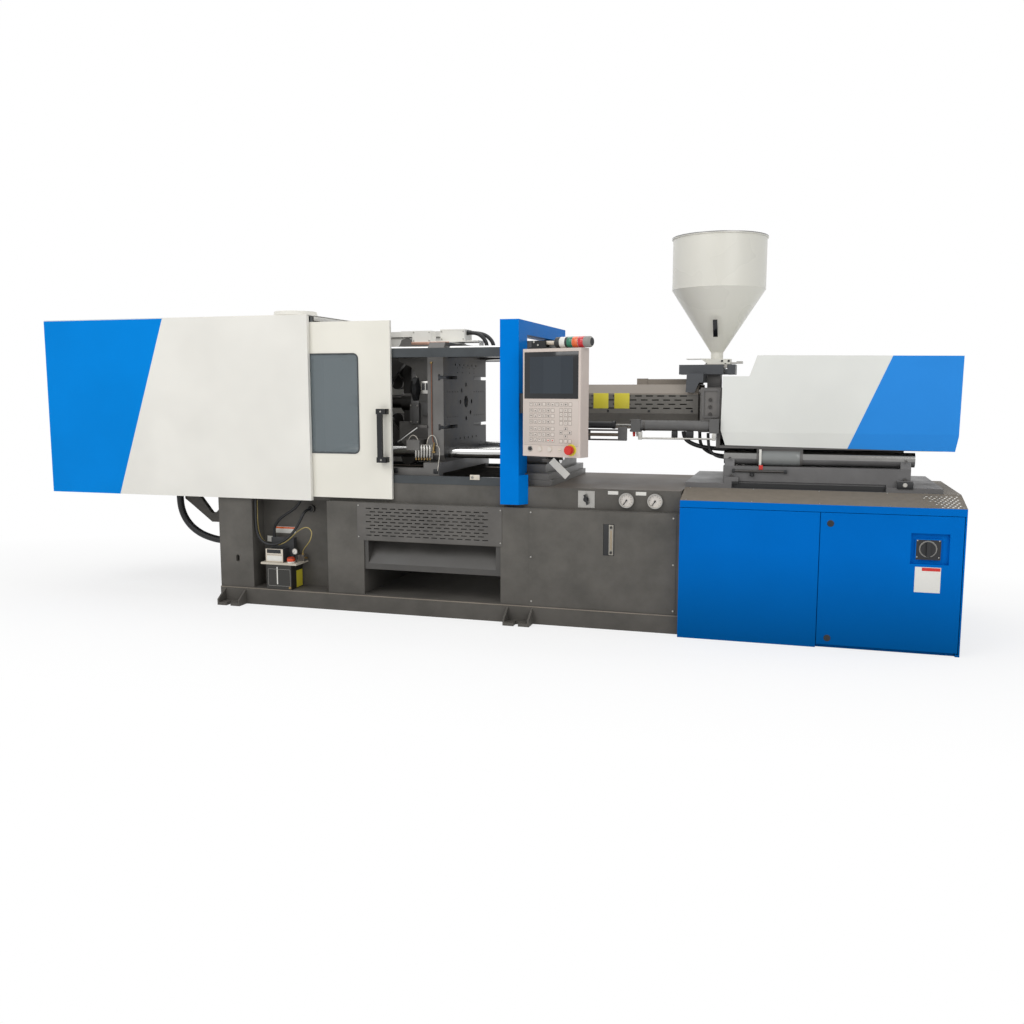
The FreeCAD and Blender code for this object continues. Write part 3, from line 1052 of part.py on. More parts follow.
def make_cabinet():
    outer = block(("cabinet_left", "cabinet_right"), ("cabinet_front + 20", "cabinet_rear"), ("0", "775"))
    lid = block(("cabinet_left", "cabinet_right"), ("cabinet_front", "cabinet_rear"), ("775", "cabinet_top"))
    slopes = [prism("YZ", [(edge, "cabinet_top - 1"), (edge, "cabinet_top"), (inner, "868"), (inner, "cabinet_top - 1")],
                    "cabinet_left", "cabinet_right")
              for edge, inner in (("cabinet_front", "-425.5"), ("cabinet_rear", "425.5"))]
    slopes.append(block(("2906.5", "cabinet_right"), ("-426", "426"), ("cabinet_top - 1", "868")))
    fixed = block(("cabinet_left", "cabinet_door_left - 4"), ("cabinet_front", "cabinet_front + 20"),
                  ("0", "772"))
    post = block(("cabinet_door_right + 4", "cabinet_right"), ("cabinet_front", "cabinet_front + 20"),
                 ("0", "775"))
    hollow = fuse(block(("cabinet_door_left + 25", "cabinet_door_right - 25"),
                        ("cabinet_front + 19", "cabinet_front + 420"), ("40", "755")),
                  block(("cabinet_door_left + 8", "cabinet_door_right - 25"),
                        ("cabinet_front + 26", "cabinet_front + 420"), ("40", "755")))
    tray = block(("cabinet_door_left + 60", "cabinet_door_right - 60"),
                 ("cabinet_front + 395", "cabinet_front + 421"), ("90", "710"))
    pin = rod("z", ("cabinet_door_right - 6", "cabinet_front + 6", "0"), "3", "780")
    sill = block(("cabinet_door_right - 12", "cabinet_right"), ("cabinet_front", "cabinet_front + 20"),
                 ("0", "12"))
    node("cabinet_shell", fuse(cut(fuse(outer, lid, *slopes, fixed, post, sill), hollow), tray, pin))
    skin = pan(("cabinet_door_left", "cabinet_door_right"), ("20", "772"), "cabinet_front", "17", lip=30)
    hinge_tube = block(("cabinet_door_right - 16", "cabinet_door_right"),
                       ("cabinet_front", "cabinet_front + 17"), ("20", "772"))
    cup = cut(block(("2716", "2928"), ("cabinet_front", "cabinet_front + 45"), ("498", "684")),
              block(("2724", "2920"), ("cabinet_front - 1", "cabinet_front + 22"), ("506", "676")))
    plate = block(("2748", "2879"), ("cabinet_front + 8", "cabinet_front + 23"), ("535", "646"))
    lock_pads = [rod("y", (x, "cabinet_front", z), "18", "17") for x, z in (("2303", "712"), ("2309", "58"))]
    cup_space = block(("2720", "2924"), ("cabinet_front - 1", "cabinet_front + 30"), ("502", "680"))
    holes = [rod("y", (x, "cabinet_front - 1", z), "10.1", "22") for x, z in (("2303", "712"), ("2309", "58"))]
    holes.append(rod("z", ("cabinet_door_right - 6", "cabinet_front + 6", "0"), "3.1", "780"))
    holes.append(rod("y", ("2813", "cabinet_front + 7", "590"), "9.1", "20"))
    node("cabinet_door", cut(fuse(cut(fuse(skin, hinge_tube, *lock_pads), cup_space), cup, plate), *holes))
    for name, x, z in (("lock_upper", "2303", "712"), ("lock_lower", "2309", "58")):
        barrel = fuse(rod("y", (x, "cabinet_front - 4", z), "14", "4"),
                      rod("y", (x, "cabinet_front - 1", z), "10", "32"),
                      block(("%s - 8" % x, "%s + 8" % x), ("cabinet_front + 27", "cabinet_front + 31"),
                            ("%s - 8" % z, "%s + 36" % z)))
        slot = block(("%s - 1.5" % x, "%s + 1.5" % x), ("cabinet_front - 5", "cabinet_front - 1"),
                     ("%s - 9" % z, "%s + 9" % z))
        node(name, cut(barrel, slot))
    node("breaker_handle", fuse(rod("y", ("2813", "cabinet_front - 6", "590"), "38", "13.7"),
                                rod("y", ("2813", "cabinet_front + 7", "590"), "9", "14"),
                                block(("2803", "2823"), ("cabinet_front - 24", "cabinet_front - 5"),
                                      ("550", "630"))))


def make_instruments():
    for name, x in (("needle_left", "1137"), ("needle_right", "1309")):
        node(name, fuse(rod("y", (x, "-band_half - 21", "792"), "5", "7"),
                        prism("XZ", [("%s - 2.5" % x, "792"), ("%s - 20" % x, "766"),
                                     ("%s - 17" % x, "764"), ("%s + 2.5" % x, "790")],
                              "-band_half - 19", "-band_half - 17")))
    node("selector_knob", fuse(rod("y", ("888", "-band_half - 18", "790"), "16", "14.7"),
                               rod("y", ("888", "-band_half - 4", "790"), "10", "4"),
                               prism("XZ", [("876", "818"), ("888", "822"), ("906", "762"), ("896", "756")],
                                     "-band_half - 34", "-band_half - 17")))


def make_lubrication():
    tank = [block(("-1300", "-1114"), ("-618", "-462"), ("skid_top + 5", "285")),
            block(("-1338", "-1072"), ("-624", "-456"), ("284", "297")),
            rod("z", ("-1128", "-590", "296"), "20", "14"), rod("z", ("-1128", "-590", "309"), "26", "24"),
            block(("-1116", "-1070"), ("-520", "-475"), ("296", "338")),
            rod("z", ("-1095", "-575", "296"), "6", "62"),
            rod("y", ("-1095", "-594", "376"), "23", "22"),
            prism("YZ", [("-480", "296"), ("-476", "296"), ("-468", "352"), ("-472", "352")], "-1320", "-1180")]
    node("lube_tank", fuse(*tank))
    node("lube_pump", fuse(block(("-1310", "-1178"), ("-605", "-525"), ("297", "388")),
                           block(("-1310", "-1140"), ("-526", "-485"), ("297", "455"))))


# ---- hoses and cables ------------------------------------------------------------------------

def tube(name, points, radius):
    """A hose: straight runs joined by arcs as large as their two runs allow."""
    spots = [FreeCAD.Vector(*point) for point in points]
    edges, radii = [], []
    last = spots[0]
    for before, here, after in zip(spots, spots[1:], spots[2:]):
        back, ahead = (before - here), (after - here)
        shorter = min(back.Length, ahead.Length)
        back.normalize()
        ahead.normalize()
        half_turn = (here - before).getAngle(ahead) / 2
        reach = 0.45 * shorter
        bend = reach / math.tan(half_turn)
        radii.append(bend)
        start, end = here + back * reach, here + ahead * reach
        bisector = (back + ahead).normalize()
        depth = (bend ** 2 + reach ** 2) ** 0.5 - bend
        edges.append(Part.LineSegment(last, start).toShape())
        edges.append(Part.Arc(start, here + bisector * depth, end).toShape())
        last = end
    edges.append(Part.LineSegment(last, spots[-1]).toShape())
    path = Part.Wire(edges)
    first = (spots[1] - spots[0]).normalize()
    ring = Part.Wire([Part.makeCircle(radius, spots[0], first)])
    solid = path.makePipeShell([ring], True, False)
    wanted = math.pi * radius ** 2 * path.Length
    feature = doc.addObject("Part::Feature", name)
    feature.Shape = solid
    node(name, feature)
    print("%s: length %.0f, tightest arc %.0f (%.1f diameters), volume ratio %.3f"
          % (name, path.Length, min(radii), min(radii) / radius / 2, solid.Volume / wanted))


def make_hoses():
    hose, cable, thin = (number(name) for name in ("hose_radius", "cable_radius", "tube_radius"))
    tube("left_hose", [(-2160, -330, 699.5), (-2160, -330, 646.8), (-2148.5, -330, 581.8),
                       (-2116.1, -330, 515.3), (-2057.7, -330, 454.9), (-1965.9, -330, 406.1),
                       (-1824.1, -330, 376), (-1683.5, -330, 376)], hose)
    tube("pump_cable", [(-1388, -584, 738), (-1388, -584, 664), (-1391, -584, 584), (-1387, -584, 505),
                        (-1362, -584, 444), (-1310, -584, 413), (-1241, -584, 413), (-1175, -584, 446),
                        (-1120, -584, 490), (-1084, -582, 537), (-1057, -578, 586), (-1041, -566, 628),
                        (-1034, -530, 651), (-1034, -475.5, 651)], cable)
    tube("pump_lead", [(-1300, -505, 455), (-1300, -505, 495), (-1286, -511, 535), (-1254, -519, 572),
                       (-1208, -527, 605), (-1154, -534, 636), (-1112, -539, 664), (-1078, -540, 700),
                       (-1063, -540, 742), (-1063, -540, 769.5)], cable)
    tube("pump_tube", [(-1090, -497, 338), (-1090, -497, 362), (-1066, -515, 388), (-1028, -540, 418),
                       (-992, -556, 462), (-984, -556, 512), (-1018, -556, 541), (-1068, -555, 524),
                       (-1114, -554, 490), (-1156, -552, 450), (-1206, -551, 417), (-1267, -551, 402),
                       (-1330, -553, 412), (-1372, -556, 450), (-1390, -556, 510), (-1394, -556, 580),
                       (-1392, -556, 648), (-1392, -556, 708.5)], thin)
    tube("box_hose", [(-64, -20, 1835), (-3, -20, 1835), (50, -20, 1804), (80, -20, 1751), (80, -20, 1680)],
         cable + 4)
    tube("injection_hose", [(1524, -200, 1190), (1524, -200, 1138), (1544, -200, 1092), (1592, -200, 1060),
                            (1656, -200, 1047), (1728, -200, 1045), (1800, -200, 1045)], cable + 1)


# ---- build and write -------------------------------------------------------------------------

make_base()
make_vent_panel()
make_drop_chute()
make_guard()
make_front_door()
make_rear_door()
make_column()
make_fixed_platen()
make_tie_bars()
make_moving_platen()
make_ejector()
make_tail_platen()
make_toggle()
make_crosshead()
make_junction_box()
make_injection_bed()
make_carriage()
make_barrel()
make_shroud()
make_seat_cylinders()
make_injection_drive()
make_injection_cover()
make_hopper()
make_hopper_base()
make_panel()
make_cabinet()
make_instruments()
make_lubrication()
make_hoses()
doc.recompute()

for thing in doc.Objects:
    if "Invalid" in thing.State or "Error" in thing.State:
        raise RuntimeError("%s (%s) failed: %s" % (thing.Name, thing.Label, thing.State))
    if thing.TypeId == "PartDesign::Pocket":
        if thing.Shape.Volume >= thing.BaseFeature.Shape.Volume - 1e-3:
            raise RuntimeError("%s cuts nothing" % thing.Name)
os.makedirs("parts", exist_ok=True)
for name, thing in NODES.items():
    shape = thing.Shape
    if shape.isNull() or not shape.isValid():
        raise RuntimeError("%s has no valid shape" % name)
    shape.exportStep(os.path.join("parts", name + ".step"))
bounds = FreeCAD.BoundBox()
for thing in NODES.values():
    bounds.add(thing.Shape.BoundBox)
print("%d sub-parts" % len(NODES))
print("size %.0f x %.0f x %.0f, middle %.1f, %.1f, floor %.2f" % (
    bounds.XLength, bounds.YLength, bounds.ZLength, bounds.Center.x, bounds.Center.y, bounds.ZMin))
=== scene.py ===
import math

import bpy
from mathutils import Euler, Matrix, Quaternion, Vector


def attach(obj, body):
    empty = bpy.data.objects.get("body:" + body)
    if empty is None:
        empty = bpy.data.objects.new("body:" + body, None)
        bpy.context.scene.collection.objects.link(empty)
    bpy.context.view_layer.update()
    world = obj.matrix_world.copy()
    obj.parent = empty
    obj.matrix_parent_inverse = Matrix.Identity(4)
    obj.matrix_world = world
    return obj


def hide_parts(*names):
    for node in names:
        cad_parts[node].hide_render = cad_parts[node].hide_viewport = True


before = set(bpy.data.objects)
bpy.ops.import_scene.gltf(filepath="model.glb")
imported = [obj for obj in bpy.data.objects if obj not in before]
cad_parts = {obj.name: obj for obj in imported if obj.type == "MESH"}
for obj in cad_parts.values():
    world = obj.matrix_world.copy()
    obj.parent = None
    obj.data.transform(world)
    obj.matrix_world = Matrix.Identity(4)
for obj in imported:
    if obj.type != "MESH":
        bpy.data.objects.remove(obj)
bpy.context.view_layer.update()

# Places and sizes below are in millimetres, from the machine's axis, the frame's middle and the floor.
AXIS_Y = 0.068          # the machine's own axis lies this far behind the frame's middle
PANEL_PIVOT = (0.763, -0.591, 0)
PANEL_TURN = math.radians(-18)
FRONT, UP, DOWN, RIGHT, LEFT = (0, -1, 0), (0, 0, 1), (0, 0, -1), (1, 0, 0), (-1, 0, 0)
SKIN = 0.00015          # half the thickness of a printed number


def at(x, y, z):
    """Millimetres from the machine's axis, the frame's middle and the floor, as a point in metres."""
    return Vector((x / 1000, y / 1000 + AXIS_Y, z / 1000))


def spot(point, on_panel=False):
    """A point in metres; one of the panel is taken from its middle and its pivot, before its turn."""
    return Vector([c / 1000 for c in point]) if on_panel else at(*point)


# ---- modelling helpers -----------------------------------------------------------------------

def clear_selection():
    if bpy.context.object and bpy.context.object.mode != "OBJECT":
        bpy.ops.object.mode_set(mode="OBJECT")
    bpy.ops.object.select_all(action="DESELECT")


def select_only(obj):
    clear_selection()
    obj.select_set(True)
    bpy.context.view_layer.objects.active = obj


def edit_all():
    bpy.ops.object.mode_set(mode="EDIT")
    bpy.ops.mesh.select_all(action="SELECT")


def close_mesh():
    """Turns every face outwards and leaves edit mode."""
    bpy.ops.mesh.select_all(action="SELECT")
    bpy.ops.mesh.normals_make_consistent(inside=False)
    bpy.ops.object.mode_set(mode="OBJECT")


def settle(obj, name, finish, body, angle=35, on_panel=False):
    """Applies the place, names the piece, gives it its material and lets it ride on its body."""
    select_only(obj)
    bpy.ops.object.transform_apply(location=True, rotation=True, scale=True)
    if on_panel:
        turn = Matrix.Rotation(PANEL_TURN, 4, "Z")
        obj.data.transform(Matrix.Translation(PANEL_PIVOT) @ turn)
    bpy.ops.object.shade_smooth_by_angle(angle=math.radians(angle))
    obj.name = name
    obj.data.name = name
    obj.data.materials.clear()
    obj.data.materials.append(MAT[finish])
    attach(obj, body)
    return obj


def about(obj, place, change):
    """Turns or stretches a finished piece about a place."""
    middle = at(*place)
    obj.data.transform(Matrix.Translation(middle) @ change @ Matrix.Translation(-middle))


def plate(name, low, high, finish, body="base", edge=2, turn=None, on_panel=False):
    """A flat plate or block between two corners, with its edges broken."""
    clear_selection()
    low, high = spot(low, on_panel), spot(high, on_panel)
    bpy.ops.mesh.primitive_cube_add(size=1, location=(low + high) / 2, scale=high - low)
    obj = bpy.context.object
    bpy.ops.object.transform_apply(location=False, rotation=False, scale=True)
    if turn:
        obj.rotation_euler = Euler(turn)
    if edge:
        edit_all()
        bpy.ops.mesh.bevel(offset=edge / 1000, segments=2, affect="EDGES")
        bpy.ops.object.mode_set(mode="OBJECT")
    return settle(obj, name, finish, body, on_panel=on_panel)


def turned(name, base, axis, steps, finish, body="base", count=32, on_panel=False, angle=35, roll=0):
    """A turned piece: from a disc at its base, drawn out along the axis; a step is (height, radius)."""
    clear_selection()
    steps = [(height / 1000, radius / 1000) for height, radius in steps]
    height, radius = steps[0]
    bpy.ops.mesh.primitive_circle_add(vertices=count, radius=radius, fill_type="NGON",
                                      location=(0, 0, height))
    obj = bpy.context.object
    bpy.ops.object.transform_apply(location=True, rotation=False, scale=False)
    edit_all()
    bpy.ops.mesh.select_mode(type="FACE")
    bpy.ops.mesh.select_all(action="SELECT")
    for next_height, next_radius in steps[1:]:
        bpy.ops.mesh.extrude_region_move(TRANSFORM_OT_translate={"value": (0, 0, next_height - height)})
        ratio = next_radius / radius
        bpy.ops.transform.resize(value=(ratio, ratio, 1))
        height, radius = next_height, next_radius
    close_mesh()
    obj.rotation_mode = "QUATERNION"
    obj.rotation_quaternion = (Vector(axis).to_track_quat("Z", "Y")
                               @ Quaternion((0, 0, 1), math.radians(roll)))
    obj.location = spot(base, on_panel)
    return settle(obj, name, finish, body, angle=angle, on_panel=on_panel)


def fitting(name, base, axis, steps, finish="brass", body="base"):
    """A six-sided nut, plug or union."""
    return turned(name, base, axis, steps, finish, body, 6, angle=20)


def strut(name, start, end, wide, thick, finish, body="base", edge=2):
    """A flat bar from one point to another in a plane that faces the operator."""
    start, end = Vector(start), Vector(end)
    reach = end - start
    half = Vector((reach.length / 2, thick / 2, wide / 2))
    middle = (start + end) / 2
    return plate(name, middle - half, middle + half, finish, body, edge,
                 turn=(0, -math.atan2(reach.z, reach.x), 0))


def rounded_frame(name, low, high, wide, radius, thick, finish, body="base", square=False):
    """A flat frame that faces the operator; square keeps its outer corners sharp."""
    clear_selection()
    low, high = at(*low), at(*high)
    bpy.ops.mesh.primitive_plane_add(size=1, location=(low + high) / 2, rotation=(math.radians(90), 0, 0))
    obj = bpy.context.object
    obj.scale = (high.x - low.x, high.z - low.z, 1)
    bpy.ops.object.transform_apply(location=False, rotation=True, scale=True)
    edit_all()
    if not square:
        bpy.ops.mesh.bevel(offset=radius / 1000, segments=6, affect="VERTICES")
        bpy.ops.mesh.select_all(action="SELECT")
    bpy.ops.mesh.inset(thickness=wide / 1000)
    if square:
        bpy.ops.mesh.bevel(offset=radius / 1000, segments=6, affect="VERTICES")
    bpy.ops.mesh.select_mode(type="FACE")
    bpy.ops.mesh.select_all(action="DESELECT")
    bpy.ops.object.mode_set(mode="OBJECT")
    max(obj.data.polygons, key=lambda face: face.area).select = True
    bpy.ops.object.mode_set(mode="EDIT")
    bpy.ops.mesh.delete(type="FACE")
    bpy.ops.mesh.select_all(action="SELECT")
    bpy.ops.mesh.extrude_region_move(TRANSFORM_OT_translate={"value": (0, -thick / 1000, 0)})
    close_mesh()
    return settle(obj, name, finish, body)


def numeral(name, text, middle, size, body="base", on_panel=False):
    """A printed number that faces the operator."""
    clear_selection()
    bpy.ops.object.text_add(location=spot(middle, on_panel), rotation=(math.radians(90), 0, 0))
    obj = bpy.context.object
    obj.data.body = text
    obj.data.size = size / 1000
    obj.data.align_x = "CENTER"
    obj.data.align_y = "CENTER"
    obj.data.extrude = SKIN
    obj.data.resolution_u = 3
    bpy.ops.object.convert(target="MESH")
    return settle(bpy.context.object, name, "key_mark", body, on_panel=on_panel)


def grid(xs, ys, zs):
    """Every place with one of each of the x, y and z values; a single value may stand alone."""
    xs, ys, zs = ([value] if isinstance(value, (int, float)) else value for value in (xs, ys, zs))
    return [(x, y, z) for x in xs for y in ys for z in zs]


def screws(name, places, body, radius, finish="zinc", axis=FRONT, count=12):
    """Socket-head screws of one size, one at each place."""
    head = [(0, radius), (radius * 0.6, radius), (radius * 0.8, radius * 0.85),
            (radius * 0.8, radius * 0.5), (radius * 0.3, radius * 0.48)]
    first = turned(name, places[0], axis, head, finish, body, count)
    copies(first, name, [Vector(place) - Vector(places[0]) for place in places[1:]], body)


def curve_through(name, points, radius, smooth=True, round_steps=4, along_steps=8):
    """A curve object with a round section, on one spline through the points."""
    curve = bpy.data.curves.new(name, "CURVE")
    curve.dimensions = "3D"
    curve.bevel_depth = radius / 1000
    curve.bevel_resolution = round_steps
    curve.resolution_u = along_steps
    curve.use_fill_caps = True
    spline = curve.splines.new("NURBS" if smooth else "POLY")
    spline.points.add(len(points) - 1)
    for knot, point in zip(spline.points, points):
        knot.co = (*at(*point), 1)
    if smooth:
        spline.order_u = 3
        spline.use_endpoint_u = True
    obj = bpy.data.objects.new(name, curve)
    bpy.context.scene.collection.objects.link(obj)
    return obj


def swept(name, points, radius, finish, body="base", smooth=True):
    """A bent rod or pipe through the points."""
    select_only(curve_through(name, points, radius, smooth))
    bpy.ops.object.convert(target="MESH")
    return settle(bpy.context.object, name, finish, body)


def copies(source, name, places, body, on_panel=False):
    """Copies of one modelled piece, each with its own mesh, moved by each place."""
    made = []
    for index, place in enumerate(places):
        twin = source.copy()
        twin.data = source.data.copy()
        twin.parent = None
        twin.matrix_world = Matrix.Identity(4)
        shift = Vector(place) / 1000
        if on_panel:
            shift = Matrix.Rotation(PANEL_TURN, 3, "Z") @ shift
        twin.data.transform(Matrix.Translation(shift))
        twin.name = "%s_%d" % (name, index + 1)
        bpy.context.scene.collection.objects.link(twin)
        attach(twin, body)
        made.append(twin)
    return made


# ---- materials -------------------------------------------------------------------------------

def linear(code, share=1.0):
    """An sRGB hex code as linear colour, or as a darker share of it."""
    channels = [int(code[i:i + 2], 16) / 255 for i in (0, 2, 4)]
    return [share * (c / 12.92 if c <= 0.04045 else ((c + 0.055) / 1.055) ** 2.4) for c in channels] + [1.0]


def add(material, kind, inputs=(), **settings):
    """Adds a shader node with its settings, values and links."""
    node = material.node_tree.nodes.new("ShaderNode" + kind)
    for key, value in settings.items():
        setattr(node, key, value)
    for key, value in dict(inputs).items():
        if isinstance(value, bpy.types.NodeSocket):
            material.node_tree.links.new(value, node.inputs[key])
        else:
            node.inputs[key].default_value = value
    return node


def new_material(name):
    material = bpy.data.materials.new(name)
    material.use_nodes = True
    return material


def join(material, output, socket):
    material.node_tree.links.new(output, socket)


def maths(material, operation, first, second):
    return add(material, "Math", {0: first, 1: second}, operation=operation).outputs[0]


def own_place(material):
    """The shaded point in metres, in the piece's own coordinates."""
    return add(material, "TexCoord").outputs["Object"]


def grain(material, scale, detail=3, rough=0.55, distortion=0.0):
    """Fine unevenness over the piece's own coordinates; the scale is in cycles a metre."""
    return add(material, "TexNoise", {"Vector": own_place(material), "Scale": scale, "Detail": detail,
                                      "Roughness": rough, "Distortion": distortion}).outputs["Fac"]


def mixed(material, factor, first, second):
    return add(material, "Mix", {0: factor, 6: first, 7: second}, data_type="RGBA").outputs[2]


def shaded(material, factor, code, share):
    """A colour in full where the factor is one, and only a share of it where that is zero."""
    return mixed(material, factor, linear(code, share), linear(code))


def stretch(material, value, low, high, to_low, to_high):
    return add(material, "MapRange", {"Value": value, "From Min": low, "From Max": high,
                                      "To Min": to_low, "To Max": to_high}).outputs["Result"]


def place_of(material):
    """The X, Y and Z of the shaded point, in metres."""
    return add(material, "SeparateXYZ", {0: own_place(material)}).outputs


def surface(material, colour, worn=None, relief=None, **values):
    """Joins the colour, the roughness by a stretched factor, and a relief: height, strength, depth."""
    shader = material.node_tree.nodes["Principled BSDF"]
    join(material, colour, shader.inputs["Base Color"])
    if worn:
        join(material, stretch(material, *worn), shader.inputs["Roughness"])
    if relief:
        bump = add(material, "Bump", dict(zip(("Height", "Strength", "Distance"), relief)))
        join(material, bump.outputs["Normal"], shader.inputs["Normal"])
    for name, value in values.items():
        shader.inputs[name.replace("_", " ")].default_value = value
    return material


def side_of_line(material, low_point, high_point):
    """One right of a slanted line through two (x, z) points in millimetres, zero left of it."""
    (x0, z0), (x1, z1) = low_point, high_point
    slope = (x1 - x0) / (z1 - z0)
    parts = place_of(material)
    along = maths(material, "ADD", parts["X"], maths(material, "MULTIPLY", parts["Z"], -slope))
    return maths(material, "GREATER_THAN", along, (x0 - slope * z0) / 1000)


def zone(material, low, high):
    """One inside a box given in millimetres from the machine's axis, zero outside it."""
    low, high = at(*low), at(*high)
    away = own_place(material)
    middle, half = (low + high) / 2, (high - low) / 2
    for operation, other in (("SUBTRACT", middle), ("ABSOLUTE", None), ("SUBTRACT", half)):
        inputs = {0: away} if other is None else {0: away, 1: other}
        away = add(material, "VectorMath", inputs, operation=operation).outputs[0]
    parts = add(material, "SeparateXYZ", {0: away}).outputs
    widest = maths(material, "MAXIMUM", parts["X"], parts["Y"])
    return maths(material, "LESS_THAN", maths(material, "MAXIMUM", widest, parts["Z"]), 0.0)


def patch(finish, boxes, code, rough=0.4, metallic=0.0, second=None):
    """Gives the stated boxes of a piece another finish, with its own cloudiness or drift of colour."""
    material = MAT[finish]
    shader = material.node_tree.nodes["Principled BSDF"]
    inside = zone(material, *boxes[0])
    for box in boxes[1:]:
        inside = maths(material, "MAXIMUM", inside, zone(material, *box))
    cloud = grain(material, 3 if second else 25, 3)
    other = linear(second) if second else linear(code, 0.75)
    factor = stretch(material, cloud, 0.4, 0.6, 0, 1) if second else cloud
    before = shader.inputs["Base Color"].links[0].from_socket
    colour = mixed(material, inside, before, mixed(material, factor, other, linear(code)))
    join(material, colour, shader.inputs["Base Color"])
    worn = shader.inputs["Roughness"].links[0].from_socket
    wear = add(material, "Mix", {0: inside, 2: worn, 3: rough})
    join(material, wear.outputs[0], shader.inputs["Roughness"])
    if metallic:
        bare = maths(material, "MULTIPLY", inside, metallic)
        links = shader.inputs["Metallic"].links
        if links:
            bare = maths(material, "MAXIMUM", bare, links[0].from_socket)
        join(material, bare, shader.inputs["Metallic"])


def powder_coat(name, code, second=None, line=None, rough=0.38, gloss=0.35, low=None):
    """Baked powder coat on folded sheet: an even colour with the slight orange peel of the spray."""
    material = new_material(name)
    cloud = grain(material, 2.2, 2)          # the colour drifts a little over half a metre
    drift = stretch(material, cloud, 0.35, 0.65, 0, 1)
    colour = shaded(material, drift, code, 0.94)
    if second:
        other = shaded(material, drift, second, 0.94)
        colour = mixed(material, side_of_line(material, *line), colour, other)
    if low:                                  # darker towards the floor
        floor_fade = stretch(material, place_of(material)["Z"], 0.0, 0.55, 1, 0)
        colour = mixed(material, floor_fade, colour, linear(low))
    peel = grain(material, 110, 1, 0.4)      # real peel is 2 mm; it is drawn at 9 mm so that it shows
    return surface(material, colour, (cloud, 0.3, 0.7, rough - 0.05, rough + 0.07), (peel, 0.06, 0.002),
                   IOR=1.5, Specular_IOR_Level=gloss)


def machine_enamel(name, code, rough=0.45):
    """Brushed and sprayed enamel on a weldment or casting: uneven and a little oily."""
    material = new_material(name)
    cloud = grain(material, 5, 5, 0.6)
    speck = grain(material, 160, 4, 0.7)     # sprayed texture, drawn at 6 mm
    colour = shaded(material, stretch(material, cloud, 0.35, 0.7, 0, 1), code, 0.72)
    return surface(material, colour, (cloud, 0.3, 0.75, rough - 0.1, rough + 0.12), (speck, 0.18, 0.0015))


def ground_steel(name, code, direction=(1, 60, 60), rough=0.24, metallic=1.0):
    """Ground or drawn steel: fine lines along the tool's path, 0.3 mm apart, drawn at 3 mm."""
    material = new_material(name)
    mapping = add(material, "Mapping", {"Vector": own_place(material), "Scale": direction})
    lines = add(material, "TexNoise", {"Vector": mapping.outputs[0], "Scale": 6.0, "Detail": 4}).outputs["Fac"]
    return surface(material, shaded(material, lines, code, 0.7),
                   (lines, 0.3, 0.7, rough - 0.06, rough + 0.1), (lines, 0.08, 0.0005), Metallic=metallic)


def moulded_plastic(name, code, rough=0.4, pores=0.1):
    """Moulded plastic or rubber: an even colour with a fine eroded texture from the tool."""
    material = new_material(name)
    pits = grain(material, 300, 3, 0.6)
    return surface(material, shaded(material, pits, code, 0.85),
                   (pits, 0.3, 0.7, rough - 0.04, rough + 0.06), (pits, pores, 0.001))


def clear_sheet(name, code, rough=0.05, alpha=0.5):
    """Cast acrylic or polycarbonate: tinted, glossy and partly see-through, with faint wipe marks."""
    material = new_material(name)
    marks = grain(material, 14, 4, 0.6, 0.6)
    return surface(material, shaded(material, marks, code, 0.9),
                   (marks, 0.35, 0.7, rough, rough + 0.06), IOR=1.49, Alpha=alpha)


def lamp_lens(name, code):
    """Dyed polycarbonate lens with upright prisms 4 mm apart."""
    material = new_material(name)
    prisms = add(material, "TexWave", {"Vector": own_place(material), "Scale": 40.0},
                 bands_direction="Z").outputs["Fac"]
    return surface(material, shaded(material, prisms, code, 0.75), None, (prisms, 0.3, 0.001),
                   Roughness=0.15, IOR=1.58)


def display_glass(name, first, second):
    """Hardened glass over a display that is off: near black, with the faint grey fields of its mask."""
    material = new_material(name)
    fields = add(material, "TexBrick", {"Vector": own_place(material), "Scale": 3.0,
                                        "Color1": linear(first), "Color2": linear(second),
                                        "Mortar": linear(first), "Mortar Size": 0.01})
    wiped = grain(material, 20, 3)
    return surface(material, fields.outputs["Color"], (wiped, 0.3, 0.7, 0.06, 0.14), IOR=1.52)


def weldment_finish():
    """The base's enamel: dark front panels that grow darker towards the floor, and on the deck's upward faces
    a lighter brown, a painted reflection on its oily, polished top.
    """
    material = new_material("weldment_enamel")
    height = place_of(material)["Z"]
    normal = add(material, "NewGeometry")
    facing = add(material, "SeparateXYZ", {0: normal.outputs["Normal"]}).outputs["Z"]
    cloud = grain(material, 4, 5, 0.6)
    speck = grain(material, 160, 4, 0.7)
    drift = stretch(material, cloud, 0.3, 0.7, 0, 1)
    front = mixed(material, drift, linear("54524E"), linear("686560"))
    # painted reflection: the deck's upward faces take a lighter, browner colour for the reflection on its
    # glossy top
    deck = mixed(material, drift, linear("574F47"), linear("71685F"))
    above = maths(material, "GREATER_THAN", height, 0.845)
    is_deck = maths(material, "MULTIPLY", above, maths(material, "GREATER_THAN", facing, 0.7))
    # darker towards the floor
    base_floor_darkening = stretch(material, height, 0.0, 0.35, 0.35, 0)
    front = mixed(material, base_floor_darkening, front, linear("45413D"))
    return surface(material, mixed(material, is_deck, front, deck), (cloud, 0.3, 0.75, 0.38, 0.55),
                   (speck, 0.12, 0.001), Specular_IOR_Level=0.15)


MAT = {}

